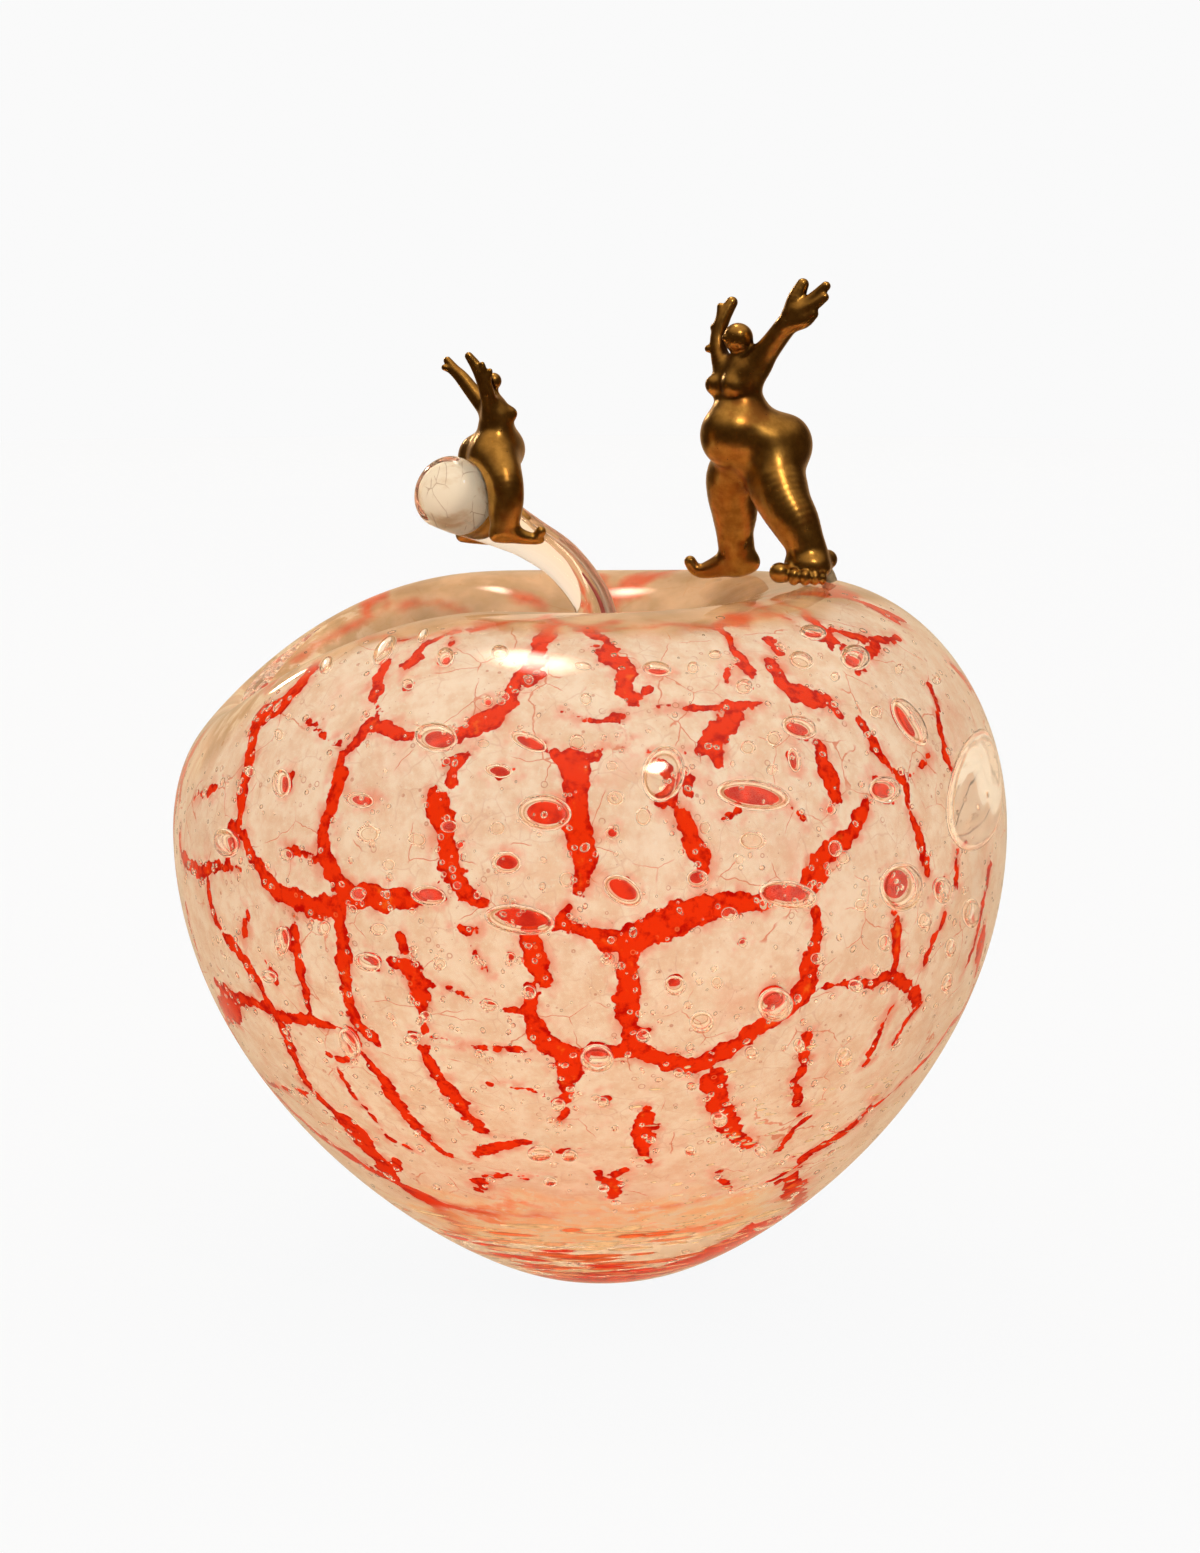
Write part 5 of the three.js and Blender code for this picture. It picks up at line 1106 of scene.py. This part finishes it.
rider_parts = [
    trunk(sat((0.8, 0, 4.6, 4.4, 3.6), (0.8, 0, 6, 6.2, 4.8), (1.2, 0.1, 10.5, 7.6, 5.4),
              (1.8, 0, 15, 7.0, 5.6), (2.2, -0.4, 18.6, 6.0, 5.1), (2.4, -1, 22, 5.5, 4.6),
              (2.6, -1.2, 26, 5.2, 4.1), (1.9, -0.7, 29.2, 3.9, 2.9), (1.5, -0.4, 31.4, 1.6, 1.4)),
          RIDER_FAR[:2], RIDER_FRONT[:2], 1.8),
    egg(*sat((5.8, 0.1, 16.4)), (4.7, 4.7, 5.2), 0, 3.4),
    egg(*sat((-1.6, -3.8, 14.4)), (3.5, 3.9, 4.6), 0, 3.6),
    egg(*sat((-1.9, 4.2, 14.8)), (3.6, 3.9, 4.6), 0, 3.6),
    egg(*sat((5.3, -3.6, 26.0)), (2.0, 1.6, 1.7), -20, 1.3, 15),
    egg(*sat((5.6, 1.6, 26.0)), (2.0, 1.6, 1.7), 40, 1.3, 15),
    limb(*sat((1.7, -0.4, 29.8, 1.6), (1.9, -0.6, 32.6, 1.2)), blend=1.0),
    egg(*sat((1.9, -0.8, 34.1)), (2.1, 2.1, 2.15), 0, 0.5),
    limb(*sat((0.6, -3.0, 26.6, 2.5), (-0.6, -3.9, 30, 2.0), (-1.6, -4.1, 33.4, 1.9),
              (-2.6, -3.8, 36.2, 1.75), (-3.9, -3.2, 38.6, 1.4), (-5.4, -2.7, 40.8, 1.05)), blend=1.5),
    limb(*sat((-1.7, -4.3, 33.8, 1.1), (-1.0, -5.2, 35.6, 0.9), (-0.7, -5.4, 37.0, 0.75)), blend=0.7),
    limb(*sat((-2.2, -4.4, 35.4, 1.0), (-2.2, -5.0, 37.4, 0.8), (-2.6, -5.0, 38.8, 0.7)), blend=0.6),
    limb(*sat((1.4, 2.4, 26.4, 2.5), (0, 4.4, 28.6, 2.15), (-1.7, 6.7, 31.6, 2.0), (-3.4, 8.7, 34.4, 1.8),
              (-4.9, 10.2, 36.4, 1.45), (-6.3, 11.6, 38.7, 1.05)), blend=1.5),
    limb(*sat((-4.4, 9.6, 35.4, 1.1), (-6.0, 10.4, 36.4, 0.9), (-7.4, 10.9, 37.0, 0.8)), blend=0.6),
    limb(*sat((1.2, -4.2, 15.0, 5.0), (1.2, -7.0, 12.6, 5.2), (1.3, -LEG_SIDE + 1.4, 9.2, 5.0),
              (1.3, -LEG_SIDE, 5, 4.7), (1.1, -LEG_SIDE - 0.1, 1.6, 4.3),
              (1, -LEG_SIDE - 0.1, -2.4, 3.5)), blend=4.5),
    limb(*sat((-0.9, -LEG_SIDE + 0.5, -4.2, 2.1), (2.4, -LEG_SIDE - 0.5, -4.0, 2.5),
              (5.4, -LEG_SIDE - 1.4, -4.9, 1.9), (8.6, -LEG_SIDE - 2.3, -5.6, 1.35),
              (9.8, -LEG_SIDE - 2.6, -5.6, 1.1)), blend=1.4),
    limb(*sat((8.6, -LEG_SIDE - 2.5, -5.0, 1.2), (9.8, -LEG_SIDE - 2.9, -3.6, 1.4)), blend=0.5),
    limb(*sat((0.5, 4.6, 13.6, 4.6), (0.3, 7.4, 11.4, 4.8), (0.3, LEG_SIDE, 8.2, 4.6),
              (0.4, LEG_SIDE + 1.2, 4.6, 4.5), (0.5, LEG_SIDE + 1.3, 0.4, 4.0),
              (0.5, LEG_SIDE + 1.3, -4.9, 3.3)), blend=3.4),
    limb(*sat((-1.7, LEG_SIDE + 1.7, -6.8, 2.0), (2.6, LEG_SIDE + 1.3, -7, 2.4),
              (6.7, LEG_SIDE + 0.9, -7.9, 1.9), (9.2, LEG_SIDE + 0.6, -8.3, 1.4)), blend=1.4),
]
rod_cut = STEM[1:].copy()
rod_cut[:, :3] -= seat
rod_cut[:, 3] += 0.25
rider = sculpted("riding_figure_cast", rider_parts, seat, 0.42, limb(*rod_cut, blend=0.5, steps=3))
wear(rider, bronze)
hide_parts("riding_figure")


# Prop: a small lump of grey-brown resin that wedges the raised heel of the standing woman.
heel = np.array([59.6, 3.4, rim_height(59.6, 3.4) + SOLE_GAP])
lump = np.array([(0, 0, 0, 1.9), (-0.2, -0.2, 1.2, 1.7), (-0.5, -0.5, 2.4, 1.4), (-0.8, -1.0, 3.2, 1.1)])
lump[:, :3] += heel
prop = closed_skins("heel_prop_lump", rod(through(lump, 3), 20, 0.1, 0.5)[None])
made, start, place = material("dull_resin")
shade = place.noise(1.5, 3).step(0.3, 0.7).colour((0.17, 0.13, 0.08), (0.36, 0.29, 0.19))
finish_solid(start, shade, 0.6)
wear(prop, made)
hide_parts("heel_prop")


# Studio: a pale floor and a pale backdrop, with warm soft lights over the apple.
FLOOR_RADIUS, FLOOR_TOP, FLOOR_DEPTH = 2500, -0.4, 20
floor_rings = np.linspace(0.02, 1, 6)[:, None] * FLOOR_RADIUS
floor_turns = np.linspace(0, 2 * math.pi, 96, endpoint=False)
floor_grid = np.stack([floor_rings * np.cos(floor_turns), floor_rings * np.sin(floor_turns),
                       np.full((6, 96), FLOOR_TOP)], -1)
under = floor_grid[::-1] - [0, 0, FLOOR_DEPTH]
floor = closed_skins("floor", np.concatenate([under, floor_grid[::-1]])[None][:, ::-1])
made, start, place = material("pale_floor")
seen = start.node("ShaderNodeLightPath", out="Is Camera Ray")
matt = start.node("ShaderNodeBsdfDiffuse", {"Color": (0.80, 0.80, 0.80, 1)})
bright = start.node("ShaderNodeEmission", {"Color": (0.955, 0.96, 0.965, 1), "Strength": 1.0})
matt = start.node("ShaderNodeMixShader", {0: 0.96, 1: matt, 2: bright})
unseen = start.node("ShaderNodeBsdfTransparent", {"Color": (1, 1, 1, 1)})
finish_with(start, start.node("ShaderNodeMixShader", {0: seen, 1: unseen, 2: matt}))
floor.data.materials.append(made)
floor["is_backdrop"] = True

# what surrounds the apple, by the kind of ray: even warm grey on matt surfaces, a glow from
# above and behind in mirrors, and pale sides and a dim front in reflections inside the glass
world = bpy.data.worlds.new("studio")
scene.world = world
start = cleared(world)
way = start.node("ShaderNodeTexCoord", out="Generated")
rise, behind, aside = way.part(2), way.part(1), way.part(0).maths("ABSOLUTE")
even = (0.5, 0.42, 0.34)
gloss = rise.step(0.45, 1.0).colour((0.06, 0.035, 0.018), (0.75, 0.58, 0.40))
gloss = behind.step(0.6, 1.0).colour(gloss, (0.62, 0.46, 0.30))
clear = rise.step(-0.4, 0.5).colour((1.15, 0.84, 0.56), (1.0, 0.84, 0.66))
mirrored = start.node("ShaderNodeLightPath", out="Glossy Depth").step(0.4, 0.6)
lit = (rise.step(0.85, 1.0) * 0.5).maths("MAXIMUM", behind.step(-0.5, 0.1))
lit = lit.maths("MAXIMUM", aside.step(0.4, 0.7))
clear = mirrored.colour(clear, lit.colour((0.40, 0.22, 0.10), (1.15, 0.94, 0.70)))
sky = start.node("ShaderNodeLightPath", out="Is Glossy Ray").colour(even, gloss)
sky = start.node("ShaderNodeLightPath", out="Is Transmission Ray").colour(sky, clear)
sky = start.node("ShaderNodeLightPath", out="Is Camera Ray").colour(sky, (0.955, 0.955, 0.955))
finish_with(start, start.node("ShaderNodeBackground", {"Color": sky}), "ShaderNodeOutputWorld")


def lamp(name, direction, distance, wide, deep, power, tint):
    """An oval soft light that fades towards its rim, aimed at the middle of the apple."""
    data = bpy.data.lights.new(name, "AREA")
    data.shape, data.size, data.size_y = "ELLIPSE", wide, deep
    data.energy, data.color = power, tint
    start = cleared(data)
    spread = start.node("ShaderNodeNewGeometry", out="Parametric").vector("SUBTRACT", (0.5, 0.5, 0))
    from_middle = start.node("ShaderNodeVectorMath", {0: spread}, out=1, operation="LENGTH")
    fading = start.node("ShaderNodeEmission", {"Strength": from_middle.step(0.5, 0.0)})
    finish_with(start, fading, "ShaderNodeOutputLight")
    way = Vector(direction).normalized()
    made = scene_object(name, data)
    made.location = Vector((0, 0, 0.12)) + way * distance
    aim(made, way, "Z")


lamp("key_light", (0.24, -0.59, 0.77), 1.5, 0.20, 0.20, 11, (1.0, 0.86, 0.68))
lamp("top_light", (-0.10, 0.36, 0.93), 1.3, 0.28, 0.52, 6.5, (1.0, 0.88, 0.72))
lamp("side_light", (-0.46, 0.82, 0.34), 1.6, 0.18, 0.18, 4.5, (1.0, 0.84, 0.62))


def fill(name, direction, strength, tint):
    """A very wide soft light from one side of the studio, for matt surfaces only."""
    data = bpy.data.lights.new(name, "SUN")
    data.angle, data.energy, data.color = math.radians(130), strength, tint
    data.cycles.use_multiple_importance_sampling = False
    made = scene_object(name, data)
    made.visible_glossy = False
    aim(made, direction, "Z")


fill("front_fill", (0.1, -1, 0.1), 0.88, (1.0, 0.90, 0.77))
fill("upper_fill", (0, -0.1, 1), 0.6, (1.0, 0.92, 0.84))
fill("lower_fill", (0, -0.35, -1), 2.1, (1.0, 0.70, 0.47))
fill("left_fill", (-1, -0.1, 0.2), 1.4, (1.0, 0.84, 0.68))
fill("right_fill", (1, 0, 0.15), 1.05, (1.0, 0.84, 0.70))
fill("back_fill", (0, 1, 0.1), 2.2, (1.0, 0.76, 0.50))

scene.cycles.max_bounces = 24
scene.cycles.transmission_bounces = 20
scene.cycles.glossy_bounces = 8
scene.cycles.transparent_max_bounces = 24
scene.cycles.caustics_reflective = False
scene.cycles.caustics_refractive = False
scene.view_settings.view_transform = "Standard"

low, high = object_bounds()
